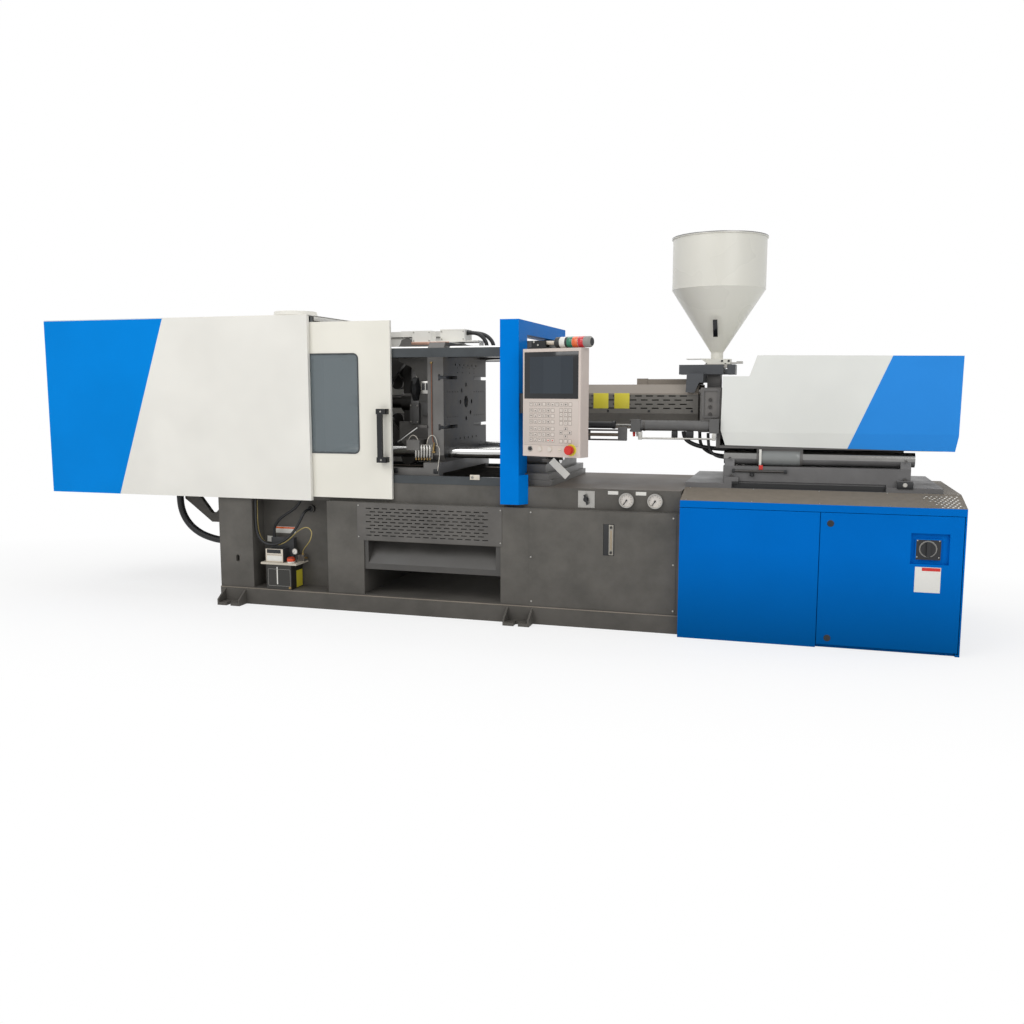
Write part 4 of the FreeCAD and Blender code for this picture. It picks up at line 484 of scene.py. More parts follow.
ENAMELS = {
    "vent": ("vent_panel_enamel", "5F5C58"), "chute": ("chute_enamel", "4A4845"),
    "moving": ("moving_platen_enamel", "6C6A67", 0.42), "fixed": ("fixed_platen_enamel", "6C6A67", 0.42),
    # skid_highlight: a lighter enamel that paints the highlight along the skid's top edge
    "skid_highlight": ("painted_skid_highlight", "857C70"), "platen": ("platen_enamel", "6C6A67", 0.42),
    "cast": ("casting_enamel", "5C5B5A", 0.5), "bed": ("bed_enamel", "6B6A6A", 0.42),
    "carriage": ("carriage_enamel", "63615F"), "rail": ("rail_enamel", "3B4043", 0.35),
}
STEELS = {
    "chrome": ("chromed_bar", "D8D8D6", (1, 60, 60), 0.12),
    "tie_bar": ("chromed_tie_bar", "D2D2D0", (1, 60, 60), 0.14),
    "steel": ("ground_steel", "B9B7B2"), "dark_steel": ("blackened_steel", "5A5856", (1, 60, 60), 0.38),
    "slide_steel": ("blackened_slide", "55575A", (2, 40, 40), 0.4, 0.6),
    "galvanised": ("galvanised_sheet", "A29E95", (8, 8, 8), 0.42, 0.85),
    "zinc": ("zinc_screw", "C4C2BC", (30, 30, 30), 0.3), "brass": ("turned_brass", "A48A5C", (30, 30, 1), 0.3),
    "copper": ("drawn_copper", "8E6450", (1, 30, 30), 0.35, 0.8),
    "copper_plate": ("rolled_copper", "C09A88", (1, 30, 30), 0.4, 0.6),
    "brown_bar": ("waxed_bar", "6E6458", (1, 30, 30), 0.35, 0.7),
}
CLEARS = {
    "smoke": ("smoked_acrylic", "7C868A", 0.06, 0.6), "wrap": ("stretch_film", "8D908F", 0.12, 0.9),
    "oil_glass": ("oil_tube", "B8A58A", 0.05, 0.6), "tank": ("tank_polyethylene", "2B2A26", 0.3, 0.97),
    "clear_tube": ("clear_nylon_tube", "CFC9BC", 0.2, 0.9), "tube_film": ("nylon_tube", "B9A66A", 0.2, 0.85),
}
PLASTICS = {
    "rubber": ("hose_rubber", "17181A", 0.5), "black": ("black_nylon", "1C1D1F", 0.42),
    "grey_plastic": ("grey_abs", "8D8B86", 0.45), "pump": ("pump_housing", "3A3B3C"),
    "key": ("key_film", "CFC3BA", 0.5, 0.02), "key_cap": ("key_cap_film", "DDD3CA", 0.45, 0.02),
    "key_edge": ("key_edge_film", "83786F", 0.5, 0.02), "key_mark": ("key_print", "3E3C3A", 0.5, 0.02),
    "key_red": ("red_key_print", "C8372C", 0.5, 0.02), "red": ("red_abs", "D22A1F", 0.3, 0.04),
    "yellow": ("yellow_film", "E0D23F", 0.4, 0.02), "white_film": ("white_film", "E6E4DD", 0.4, 0.02),
    "cream": ("cream_abs", "D9CFBF", 0.4, 0.04), "dial": ("dial_enamel", "D9D3CB", 0.4, 0.01),
    "orange_cap": ("orange_polypropylene", "D9481E", 0.4, 0.04),
}
LENSES = {"lens_red": ("red_lens", "D3222B"), "lens_orange": ("orange_lens", "EE6A2C"),
          "lens_green": ("green_lens", "15795A"), "lens_clear": ("clear_lens", "D5CFC6")}
DISPLAYS = {"display": ("display_glass", "1A252F", "222C35"),
            "display_edge": ("display_mask", "070A0F", "0B0F15")}


def make_materials():
    cover_line = ((-2434, 721), (-2029, 1924))
    unit_line = ((2389, 1118), (2610, 1643))
    MAT.update({
        "weldment": weldment_finish(),
        "cover": powder_coat("cover_powder_coat", "EAE8E1"),
        "door": powder_coat("door_powder_coat", "E9E6DB"),
        "cover_two": powder_coat("clamp_cover_powder_coat", "0084DC", "EAE8E1", cover_line, gloss=0.05),
        "unit_two": powder_coat("unit_cover_powder_coat", "E2E3DE", "2C8ADE", unit_line, gloss=0.1),
        "blue": powder_coat("blue_powder_coat", "007AD6", gloss=0.02),
        "cabinet": powder_coat("cabinet_powder_coat", "006AC2", gloss=0.02, low="005290"),
        "cabinet_door": powder_coat("cabinet_door_powder_coat", "006AC2", gloss=0.02, low="005290"),
        "beige": powder_coat("panel_powder_coat", "D2C5BC", rough=0.45),
        "hopper": powder_coat("hopper_powder_coat", "E0DED4", rough=0.3),
        "shroud": powder_coat("shroud_powder_coat", "8C847A", rough=0.4),
    })
    for make, rows in ((machine_enamel, ENAMELS), (ground_steel, STEELS), (clear_sheet, CLEARS),
                       (moulded_plastic, PLASTICS), (lamp_lens, LENSES), (display_glass, DISPLAYS)):
        for finish, row in rows.items():
            MAT[finish] = make(*row)
    patch("door", [((-470, -700, 980), (-380, -598, 1340))], "1D1E20", 0.4)
    # the platen's face is ground and still wears its brown preserving wax in places
    patch("moving", [((-83.5, -436, 980), (-81.5, 436, 1760))], "14171A", 0.5, second="3A3327")
    patch("fixed", [((600, -430, 1190), (1575, -330, 1275)), ((600, 330, 1190), (1575, 430, 1275))],
          "8B8A87", 0.25, 0.9)
    patch("tie_bar", [((599, -400, 980), (668, 400, 1770))], "4A4948", 0.45)
    patch("bed", [((1680, -373, 1043), (2760, -287, 1093)), ((1680, 287, 1043), (2760, 373, 1093))],
          "8F8E8C", 0.18, 1.0)
    patch("bed", [((1740, -427, 870), (2605, -388, 910))], "1B1C1D", 0.5)
    patch("carriage", [((1520, -350, 1190), (1662, 350, 1466))], "6E6B68", 0.42)
    patch("cabinet", [((1465, -676, 814), (3002, 753, 870))], "8A8277", 0.4)
    patch("shroud", [((650, -240, 1225), (1530, 240, 1421))], "74716B", 0.42)
    patch("hopper", [((1250, -350, 2384), (1950, 350, 2391))], "8F8E8C", 0.3, 0.8)
    patch("hopper", [((1530, -71, 1586), (1671, 71, 1611))], "A7A49E", 0.3, 0.9)
    patch("beige", [((300, -1000, 1690.6), (1200, -400, 1780))], "1B1C1E", 0.42)
    patch("tank", [((-1340, -626, 283.5), (-1070, -454, 298))], "D3CBBB", 0.45)
    patch("tank", [((-1118, -522, 298.5), (-1068, -473, 340))], "B3B0AA", 0.35, 0.9)
    patch("weldment", [((836, -569, 737), (941, -565.5, 842)), ((1090, -592, 745), (1356, -565.5, 840))],
          "B9B7B2", 0.35, 0.8)


NODE_FINISH = {
    "weldment": ["base_frame"], "vent": ["vent_panel"], "chute": ["drop_chute"],
    "fixed": ["fixed_platen"], "moving": ["moving_platen"], "platen": ["tail_platen"],
    "carriage": ["carriage"], "bed": ["injection_bed"],
    "cast": ["injection_plate", "clamp_cylinder", "carriage_cylinders"],
    "rail": ["door_rail", "panel_arm"],
    "cover": ["rear_cover", "roof_cover", "rear_door", "junction_box"],
    "door": ["front_door"], "cover_two": ["front_cover"], "unit_two": ["injection_cover"],
    "blue": ["column_cover"], "cabinet": ["cabinet_shell"], "cabinet_door": ["cabinet_door"],
    "beige": ["panel_housing"], "hopper": ["hopper"], "shroud": ["barrel_cover"],
    "tie_bar": ["tie_bars"], "chrome": ["screw"], "steel": ["hopper_gate"],
    "slide_steel": ["hopper_base"],
    "dark_steel": ["upper_rear_link", "upper_front_link", "lower_rear_link", "lower_front_link",
                   "upper_crosshead_link", "lower_crosshead_link", "crosshead", "ejector_plate",
                   "die_height_nuts", "barrel"],
    "smoke": ["door_window"], "tank": ["lube_tank"], "pump": ["lube_pump"],
    "key_cap": ["push_button_left", "push_button_right"], "red": ["e_stop"],
    "black": ["key_switch", "signal_light", "breaker_handle", "lock_upper", "lock_lower", "needle_left",
              "needle_right", "selector_knob"],
}


def finish_cad_nodes():
    for finish, nodes in NODE_FINISH.items():
        for name in nodes:
            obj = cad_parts[name]
            obj.data.materials.clear()
            obj.data.materials.append(MAT[finish])


# ---- cords -----------------------------------------------------------------------------------

# name, radius, length, body, stiffness, finish and route
CORDS = (
    ("left_hose", 25, 663, "base", "medium", "rubber",
     [(-2160, -330, 699.5), (-2160, -330, 646.8), (-2148.5, -330, 581.8), (-2116.1, -330, 515.3),
      (-2057.7, -330, 454.9), (-1965.9, -330, 406.1), (-1824.1, -330, 376), (-1683.5, -330, 376)]),
    ("pump_cable", 9, 824, "base", "limp", "rubber",
     [(-1388, -584, 738), (-1388, -584, 664), (-1391, -584, 584), (-1387, -584, 505), (-1362, -584, 444),
      (-1310, -584, 413), (-1241, -584, 413), (-1175, -584, 446), (-1120, -584, 490), (-1084, -582, 537),
      (-1057, -578, 586), (-1041, -566, 628), (-1034, -530, 651), (-1034, -475.5, 651)]),
    ("pump_lead", 9, 422, "base", "limp", "rubber",
     [(-1300, -505, 455), (-1300, -505, 495), (-1286, -511, 535), (-1254, -519, 572), (-1208, -527, 605),
      (-1154, -534, 636), (-1112, -539, 664), (-1078, -540, 700), (-1063, -540, 742), (-1063, -540, 769.5)]),
    ("pump_tube", 3.5, 930, "base", "limp", "tube_film",
     [(-1090, -497, 338), (-1090, -497, 362), (-1066, -515, 388), (-1028, -540, 418), (-992, -556, 462),
      (-984, -556, 512), (-1018, -556, 541), (-1068, -555, 524), (-1114, -554, 490), (-1156, -552, 450),
      (-1206, -551, 417), (-1267, -551, 402), (-1330, -553, 412), (-1372, -556, 450), (-1390, -556, 510),
      (-1394, -556, 580), (-1392, -556, 648), (-1392, -556, 708.5)]),
    ("box_hose", 13, 251, "moving_platen", "limp", "rubber",
     [(-64, -20, 1835), (-3, -20, 1835), (50, -20, 1804), (80, -20, 1751), (80, -20, 1680)]),
    ("injection_hose", 10, 367, "carriage", "limp", "rubber",
     [(1524, -200, 1190), (1524, -200, 1138), (1544, -200, 1092), (1592, -200, 1060), (1656, -200, 1047),
      (1728, -200, 1045), (1800, -200, 1045)]),
    ("feed_hose", 13, 407, "carriage", "medium", "rubber",
     [(1430, -250, 1196), (1434, -250, 1160), (1466, -250, 1128), (1530, -250, 1104), (1610, -250, 1094),
      (1700, -250, 1090), (1790, -250, 1090)]),
    ("return_hose", 9, 272, "carriage", "medium", "rubber",
     [(1584, -300, 1190), (1586, -300, 1130), (1598, -300, 1080), (1634, -300, 1050), (1690, -300, 1040),
      (1750, -300, 1040)]),
    ("second_box_hose", 13, 279, "moving_platen", "limp", "rubber",
     [(-64, 24, 1835), (10, 24, 1835), (78, 24, 1806), (116, 24, 1748), (116, 24, 1680)]),
    ("line_tube_1", 2.5, 173, "moving_platen", "medium", "clear_tube",
     [(-330, -446, 1080), (-328, -450, 1118), (-306, -453, 1156), (-274, -455, 1158), (-252, -455, 1126),
      (-250.5, -456, 1098)]),
    ("line_tube_2", 2.5, 158, "moving_platen", "medium", "clear_tube",
     [(-192, -456, 1098), (-190, -456, 1128), (-172, -455, 1158), (-142, -453, 1158), (-126, -450, 1124),
      (-124, -446, 1092)]),
    ("line_tube_3", 2.5, 210, "moving_platen", "medium", "clear_tube",
     [(-133, -446, 1092), (-116, -458, 1092), (-96, -486, 1078), (-84, -512, 1040), (-84, -526, 1000),
      (-88, -530, 962), (-94, -526, 936)]),
)


def lay_cord(name, radius, length, body, stiffness, finish, route):
    """A hose or cable on one smooth curve through its route."""
    obj = curve_through(name + "_line", route, radius, round_steps=5, along_steps=12)
    obj.data.materials.append(MAT[finish])
    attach(obj, body)
    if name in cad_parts:
        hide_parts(name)


# ---- camera, light and floor -----------------------------------------------------------------

def seen_by_eye(shading):
    """One for a ray from the camera, in a reflection or through glass; zero where light is gathered."""
    path = add(shading, "LightPath")
    seen = path.outputs["Is Camera Ray"]
    for kind in ("Is Transmission Ray", "Is Glossy Ray"):
        seen = maths(shading, "MAXIMUM", seen, path.outputs[kind])
    return seen


def set_up_studio():
    """The photograph's camera, three soft lights and a white floor that keeps the machine's shadow."""
    scene = bpy.context.scene
    camera = bpy.data.cameras.new("camera")
    camera.lens = 33.88
    camera.sensor_width = 36
    camera.clip_end = 200
    stand = bpy.data.objects.new("camera", camera)
    stand.location = (2.123, -6.218, 1.455)          # place, tilt and turn fitted to the photograph
    tilt, turn = 7.265, 16.621
    stand.rotation_euler = (math.radians(90 - tilt), 0, math.radians(turn))
    scene.collection.objects.link(stand)
    scene.camera = stand

    world = bpy.data.worlds.new("studio")
    world.use_nodes = True
    scene.world = world
    background = world.node_tree.nodes["Background"]
    background.inputs["Color"].default_value = (1, 1, 1, 1)
    strength = add(world, "MapRange", {"Value": seen_by_eye(world), "To Min": 0.50, "To Max": 1.0})
    join(world, strength.outputs[0], background.inputs["Strength"])

    for name, place, aim, size, power in (
            ("key_light", (-3.0, -6.5, 6.5), (0, 0, 1.0), 5.0, 262),
            ("fill_light", (5.5, -5.5, 4.5), (0.5, 0, 1.0), 4.0, 120),
            ("top_light", (0, 1.5, 6.5), (0, 0, 1.0), 6.0, 150)):
        lamp = bpy.data.lights.new(name, "AREA")
        lamp.size = size
        lamp.energy = power
        obj = bpy.data.objects.new(name, lamp)
        obj.location = place
        obj.rotation_euler = (Vector(aim) - Vector(place)).to_track_quat("-Z", "Y").to_euler()
        scene.collection.objects.link(obj)
        obj.visible_camera = False

    clear_selection()
    bpy.ops.mesh.primitive_plane_add(size=60, location=(0, 0, 0))
    floor = bpy.context.object
    floor.name = "floor"
    material = new_material("studio_floor")
    grey = mixed(material, grain(material, 0.8, 3), (0.9, 0.9, 0.9, 1), (0.95, 0.95, 0.95, 1))
    surface(material, grey, Roughness=0.9)
    # seen directly or in a reflection it is the photograph's white, and near the machine it keeps a shadow
    white = add(material, "Emission", {"Color": (1, 1, 1, 1), "Strength": 1.0})
    away = add(material, "Mapping", {"Vector": own_place(material), "Scale": (0.24, 0.6, 1)})
    reach = add(material, "VectorMath", {0: away.outputs[0]}, operation="LENGTH")
    whiteness = stretch(material, reach.outputs["Value"], 0.7, 1.5, 0.72, 1)
    part = maths(material, "MULTIPLY", seen_by_eye(material), whiteness)
    shader = material.node_tree.nodes["Principled BSDF"]
    mix = add(material, "MixShader", {0: part, 1: shader.outputs[0], 2: white.outputs[0]})
    join(material, mix.outputs[0], material.node_tree.nodes["Material Output"].inputs["Surface"])
    floor.data.materials.append(material)
    scene.view_settings.view_transform = "Standard"


# ---- control panel ---------------------------------------------------------------------------

def panel_plate(name, x, y, z, finish, edge=1.5):
    """A plate of the panel: x from its middle, y from its pivot, both before its turn."""
    return plate(name, (x[0], y[0], z[0]), (x[1], y[1], z[1]), finish, "panel", edge, on_panel=True)


def panel_copies(source, name, places):
    """Copies of a key or its print, moved from the middle of the panel to each (x, z)."""
    copies(source, name, [(x, 0, z) for x, z in places[1:]], "panel", True)
    first = Matrix.Rotation(PANEL_TURN, 3, "Z") @ spot((places[0][0], 0, places[0][1]), True)
    source.data.transform(Matrix.Translation(first))


def dress_keypad(front):
    """Film keys under one printed sheet, in the two blocks of the real panel."""
    first, pitch = -137, 30.1            # of the columns of keys
    columns = [first + pitch * i for i in range(6)]
    number_columns = (72, 103.5, 131.5)
    number_rows = (1333, 1309, 1284, 1258)
    keys = [(first + pitch * i, 1367) for i in range(10)]
    keys += [(x, z) for z in (1331, 1299, 1265, 1224, 1190, 1157) for x in columns]
    numbers = [(x, z) for z in number_rows for x in number_columns]
    arrows = ((103.5, 1225, 0), (72, 1204, 90), (131.5, 1204, -90), (103.5, 1184, 180))
    lower = [(x, 1154) for x in number_columns]
    all_keys = keys + numbers + [(x, z) for x, z, turn in arrows] + lower
    edge = panel_plate("key_edge", (-11.8, 11.8), (front - 1.2, front - 0.8), (-11.2, 11.2), "key_edge",
                       edge=0)
    panel_copies(edge, "key_edge", all_keys)
    cap = panel_plate("key_cap", (-9.8, 9.8), (front - 1.9, front - 0.8), (-9.2, 9.2), "key_cap", edge=0.9)
    panel_copies(cap, "key_cap", all_keys)
    prints = (("key_bar", (-5, 5), (1, 4)), ("key_post", (-1.7, 1.7), (-5, 5)),
              ("key_dot", (-3.2, 3.2), (-5, 1)))
    for index, (name, wide, high) in enumerate(prints):
        mark = panel_plate(name, wide, (front - 2.2, front - 1.8), high, "key_mark", edge=0)
        panel_copies(mark, name, keys[index:-2:3] if index else keys[:-2:2])
    red_print = panel_plate("red_key_print", (-4, 4), (front - 2.2, front - 1.8), (-4, 3), "key_red", edge=0)
    panel_copies(red_print, "red_key_print", keys[-2:])
    for digit, (x, z) in zip("789456123.0-", numbers):
        numeral("number_key_%d" % numbers.index((x, z)), digit, (x, front - 1.9, z), 12, "panel", True)
    for index, (x, z, turn) in enumerate(arrows):
        turned("arrow_key_%d" % index, (x, front - 1.8, z), FRONT, [(0, 7.5), (0.4, 7.5)], "key_mark",
               "panel", 3, True, roll=turn)


def dress_controls(front):
    """The row below the keypad: key switch, two buttons, a small cover and the stop button's ring."""
    row = 1104           # the height of the row's centre line
    panel_plate("lower_line", (-188, 188), (front - 0.8, front + 0.5), (1127, 1128.5), "grey_plastic", edge=0)
    for x, name, finish in ((-143, "key_switch", "steel"), (-74, "push_left", "cream"),
                            (-5, "push_right", "cream")):
        turned(name + "_bezel", (x, front, row), FRONT,
               [(0, 17.5), (3, 17.5), (4, 16.5), (4, 14.8), (1, 14.6)], finish, "panel", on_panel=True)
    panel_plate("socket_cover", (52, 76), (front - 2.5, front + 0.5), (1092, 1110), "cream", edge=1)
    panel_plate("socket_cover_line", (55, 73), (front - 2.8, front - 2.3), (1100, 1101.2), "key_mark", edge=0)
    turned("stop_ring", (141, front, row), FRONT, [(0, 34), (2.5, 34), (6.5, 31.5), (6.5, 12.5), (0, 12.5)],
           "yellow", "panel", on_panel=True)


def dress_signal_light():
    """Coloured lenses and collars along the folded light, and its bracket's screws."""
    y, z = -90, 1724             # the light's own axis
    rings = (("lamp_base", 10, 40, 32, "black"), ("lamp_collar", 40, 77, 32, "white_film"),
             ("lamp_band", 77, 91, 32, "black"), ("lamp_green", 91, 125, 32.4, "lens_green"),
             ("lamp_seam_1", 125, 127, 31.7, "lens_clear"), ("lamp_orange", 127, 163, 32.4, "lens_orange"),
             ("lamp_seam_2", 163, 166, 31.7, "lens_clear"), ("lamp_red", 166, 200, 32.4, "lens_red"))
    for name, start, end, radius, finish in rings:
        long = end - start
        chamfer = min(1.2, long / 3)
        turned(name, (start, y, z), RIGHT,
               [(0, radius - 0.6), (chamfer, radius), (long - chamfer, radius), (long, radius - 0.6)],
               finish, "signal_light", 48, True)
    turned("lamp_cap", (200, y, z), RIGHT, [(0, 31.9), (31.5, 31.9), (38, 29.5), (44.8, 23.5)],
           "grey_plastic", "signal_light", 48, True)
    turned("lamp_stem", (-59, y, z), RIGHT, [(0, 11.8), (52, 11.8), (60, 17.5), (69, 17.5)], "cream",
           "signal_light", on_panel=True)
    for index, (x, height) in enumerate(((-132, 1730), (-104, 1712))):
        turned("lamp_bracket_screw_%d" % index, (x, -120, height), FRONT,
               [(0, 6), (3, 6), (4, 5), (4, 3), (2, 2.9)], "zinc", "panel", 12, True)


def dress_panel():
    """Glass, film, keys and controls on the panel's front, and its light."""
    front = -140
    panel_plate("screen_glass", (-185, 185), (front - 1.5, front + 2), (1400, 1670), "display_edge")
    panel_plate("screen_field", (-147, 151), (front - 1.9, front - 1.4), (1430, 1643), "display", edge=0)
    panel_plate("keypad_film", (-188, 188), (front - 0.9, front + 0.5), (1134, 1392), "key", edge=0.4)
    dress_keypad(front)
    dress_controls(front)
    dress_signal_light()


# ---- base ------------------------------------------------------------------------------------

def dress_base():
    """Screws, gauges and the level gauge on the base's front."""
    gauge_z, dial_y = 792, -579          # the gauges' centre line and the face of their dials
    end_angle, step_angle = 225, 27      # of the scale's zero, and between two of its marks
    screws("side_panel_screw", [(x, -606, z) for x, z in ((548, 702), (549, 423), (553, 144), (1423, 697),
                                                          (1426, 417), (1430, 138))], "base", 5.5)
    screws("vent_panel_screw", grid((-617, 352), -606, (500, 706)), "base", 5)
    screws("selector_screw", grid((846, 931), -568, (747, 832)), "base", 4)
    for index, x in enumerate((1137, 1309)):
        name = "pressure_gauge_%d" % (index + 1)
        turned(name + "_plate", (x, dial_y + 1, gauge_z), FRONT, [(0, 38.8), (0.8, 38.8)], "dial", count=40)
        for step in range(11):
            angle = math.radians(end_angle - step_angle * step)
            reach = Vector((math.cos(angle), 0, math.sin(angle)))
            mark = Vector((x, dial_y - 0.1, gauge_z))
            strut("%s_tick_%d" % (name, step), mark + reach * 31, mark + reach * 36, 1.8, 0.4, "key_mark",
                  edge=0)
            if step % 2 == 0:
                numeral("%s_number_%d" % (name, step), str(step // 2),
                        Vector((x, dial_y, gauge_z)) + reach * 24.5, 9)
        turned(name + "_bezel", (x, dial_y + 2, gauge_z), FRONT,
               [(0, 45.6), (8, 45.6), (11.5, 43.5), (11.5, 39.5), (1.2, 38.8)], "galvanised", count=48)
    for index, x in enumerate((1021, 1190)):
        plate("gauge_name_plate_%d" % (index + 1), (x, -566, 823), (x + 63, -565, 844), "white_film",
              edge=0.3)
    # painted shade: a flat black plate stands for the shade in the recess around the level gauge
    plate("level_gauge_recess_shade", (1004, -604, 456), (1070, -602.4, 646), "black", edge=0.6)
    plate("level_gauge_body", (1037, -610, 458), (1066, -603.5, 644), "galvanised", edge=3)
    plate("level_gauge_window", (1045, -611.5, 492), (1058, -609.5, 610), "oil_glass", edge=1)
    screws("level_gauge_nut", grid(1051.5, -610, (474, 628)), "base", 9, "dark_steel", count=6)
    # painted highlight: a lighter strip along the skid's top edge, where light catches it
    plate("skid_lip_highlight", (-1663, -614.2, 106), (1460, -611, 113), "skid_highlight", edge=1)


# ---- lubrication unit ------------------------------------------------------------------------

def make_pump_gauge(middle, radius):
    """The small gauge of the pump: enamelled plate, printed scale, pressed bezel and needle."""
    x, y, z = middle
    turned("pump_gauge_plate", middle, FRONT, [(0, radius), (0.8, radius)], "dial", count=40)
    tick = plate("pump_gauge_tick", (x - 0.5, y - 1.1, z + radius * 0.78),
                 (x + 0.5, y - 0.7, z + radius * 0.93), "key_mark", edge=0)
    for step in range(1, 11):
        twin = copies(tick, "pump_gauge_tick_%d" % step, [(0, 0, 0)], "base")[0]
        about(twin, middle, Matrix.Rotation(math.radians(27 * step), 4, "Y"))
    about(tick, middle, Matrix.Rotation(math.radians(-135), 4, "Y"))
    turned("pump_gauge_bezel", (x, y + 2, z), FRONT,
           [(0, radius * 1.14), (4, radius * 1.14), (6.5, radius * 1.1), (6.5, radius * 1.01),
            (2, radius * 0.99)], "dark_steel", count=40)
    strut("pump_gauge_needle", (x, y - 1.4, z), (x - 10, y - 1.4, z - 9), 1.5, 0.5, "key_mark", edge=0)


def dress_lubrication():
    """The lubrication unit's display, gauge, caps, nuts and plain fields."""
    plate("pump_front", (-1309, -607, 298), (-1179, -605, 387), "cream", edge=1)
    plate("pump_display", (-1299, -608, 358), (-1194, -606.8, 384), "display_edge", edge=0.6)
    plate("pump_field_line", (-1301, -607.4, 347), (-1185, -606.9, 348.5), "key_mark", edge=0)
    plate("pump_field", (-1299, -607.5, 306), (-1188, -606.9, 340), "white_film", edge=0)
    turned("filler_neck", (-1128, -590, 296.5), UP, [(0, 24.5), (9, 24.5), (12, 22)], "white_film")
    turned("filler_cap", (-1128, -590, 308), UP, [(0, 26.2), (19, 26.8), (24.5, 24.5), (26.5, 19), (26.5, 6)],
           "orange_cap", count=24, angle=10)
    make_pump_gauge((-1095, -594, 376), 19.5)
    fitting("tube_nut", (-1090, -497, 338), UP, [(0, 8), (9, 8), (11, 6.5)])
    fitting("valve_plug", (-1070, -497, 319), RIGHT, [(0, 8), (6, 8), (7, 5.5), (15, 5.5)])
    fitting("drain_plug", (-1124, -618, 130), FRONT, [(0, 9), (4, 9), (5, 6.5), (10, 6.5)])
    rounded_frame("tank_field", (-1288, -618, 138), (-1121, -618, 254), 2.2, 6, 0.6, "grey_plastic")
    plate("tank_level_strip", (-1223, -618.6, 150), (-1215, -618, 268), "white_film", edge=0)
    plate("tank_side_field", (-1114, -548, 122), (-1113.3, -468, 236), "yellow", edge=0)
    plate("recess_field", (-1316, -454.2, 474), (-1164, -453.2, 519), "white_film", edge=0.3)
    plate("recess_field_head", (-1314, -454.7, 505), (-1166, -454, 517), "lens_orange", edge=0)
    strut("leaning_field", (-1374, -470, 434), (-1262, -470, 428), 40, 1, "white_film", edge=0.3)
    strut("leaning_field_stay", (-1330, -470, 430), (-1330, -453, 430.001), 6, 17, "grey_plastic", edge=0)
    turned("wall_grommet", (-1034, -453, 651), FRONT, [(0, 25.8), (10, 26.2), (18, 23.5), (25, 17.5),
                                                       (28.5, 10.5)], "rubber")
    turned("lead_gland", (-1063, -540, 757), UP, [(0, 11.5), (4, 14.5), (12, 14.5)], "black", count=20)
    screws("cable_clamp_screw", grid((-1408, -1380), -598, 743), "base", 4)


# ---- clamp guard and mould area --------------------------------------------------------------

def dress_guard():
    """The door's glazing and the guard's fixings."""
    rounded_frame("window_corners", (-1506, -596, 1033), (-595, -596, 1690), 7, 36, 0.8, "door", "front_door",
                  square=True)
    rounded_frame("window_gasket", (-1500, -596.6, 1039), (-601, -596.6, 1684), 8, 36, 3.5, "rail",
                  "front_door")
    screws("handle_screw", grid(-426, -658, (1007, 1314)), "front_door", 6)
    turned("vent_cap_rim", (-1370, 0, 1974.5), UP, [(0, 147.5), (0.4, 153.1), (12.5, 153.1), (13.3, 150),
                                                    (26, 150), (28, 147)], "cover", count=64)
    plate("roof_end_plate", (-950, -526, 1898), (-944, 526, 1926), "cover", edge=1)


def dress_moving_platen():
    """Lubrication lines, sockets and covers on the moving platen's operator side."""
    on = "moving_platen"
    plate("socket_plate", (-257, -392, 1426), (-191.5, -384, 1506), "steel", on, 1.5)
    for index, x in enumerate((-247, -219)):
        plate("socket_%d" % (index + 1), (x, -398, 1448), (x + 17, -391.5, 1494), "black", on)
    swept("lubrication_pipe", [(-163, -436, 1622), (-163, -440, 1610), (-163, -440, 1500), (-163, -440, 1170),
                               (-160, -441, 1140), (-151, -447, 1112)], 3.5, "copper", on)
    fitting("pipe_elbow", (-163, -434, 1622), FRONT, [(0, 9), (8, 9), (11, 6)], body=on)
    fitting("pipe_union", (-150, -448, 1050), (0.1, 0, 1),
            [(0, 6), (14, 6), (15, 8.5), (34, 8.5), (35, 5.5), (62, 5.5)], body=on)
    plate("union_foot", (-160, -450, 1044), (-140, -434, 1056), "brass", on, 1)
    cover = turned("side_cover", (-340, -271, 1455), FRONT, [(0, 46), (6, 48), (14, 44), (30, 26), (34, 22)],
                   "black", on, 6, angle=15, roll=30)
    about(cover, (-340, -271, 1455), Matrix.Diagonal((0.82, 1, 1.85, 1)))
    plate("limit_block", (-374, -302, 1226), (-308, -271, 1361), "cast", on, 3)
    plate("limit_block_right", (-294, -300, 1283), (-234, -271, 1370), "cast", on, 3)
    screws("limit_block_screw", grid((-364, -318), -302, (1240, 1347)), on, 6)
    swept("hand_wand", [(-404, -440, 1113), (-250, -440, 1217)], 6.5, "chrome", on, False)
    plate("wand_clip", (-262, -448, 1203), (-191.5, -430, 1222), "dark_steel", on)
    turned("wand_end", (-404, -440, 1113), (-0.83, 0, -0.56), [(0, 9), (20, 9), (26, 5)], "black", on, 20)
    plate("distributor_plate", (-282, -446, 1004), (-158, -436, 1098), "galvanised", on)
    row = [(19.5 * i, 0, 0) for i in range(1, 6)]        # five more pillars and nuts, 19.5 mm apart
    pillar = turned("distributor_pillar", (-270, -456, 1014), UP,
                    [(0, 7.5), (2, 8.8), (70, 8.8), (72, 7.5), (76, 5), (84, 5)], "steel", on, 20)
    copies(pillar, "distributor_pillar", row, on)
    nut = fitting("pillar_nut", (-270, -456, 998), UP, [(0, 6.2), (8, 6.2), (9, 5), (17, 5)], body=on)
    copies(nut, "pillar_nut", row, on)
    screws("distributor_screw", grid((-277, -163), -446, (1010, 1092)), on, 4)
    for index, x in enumerate((-370, -92)):
        plate("wear_pad_%d" % (index + 1), (x - 34, -524, 915.5), (x + 2, -486, 948), "rubber", on, 6)


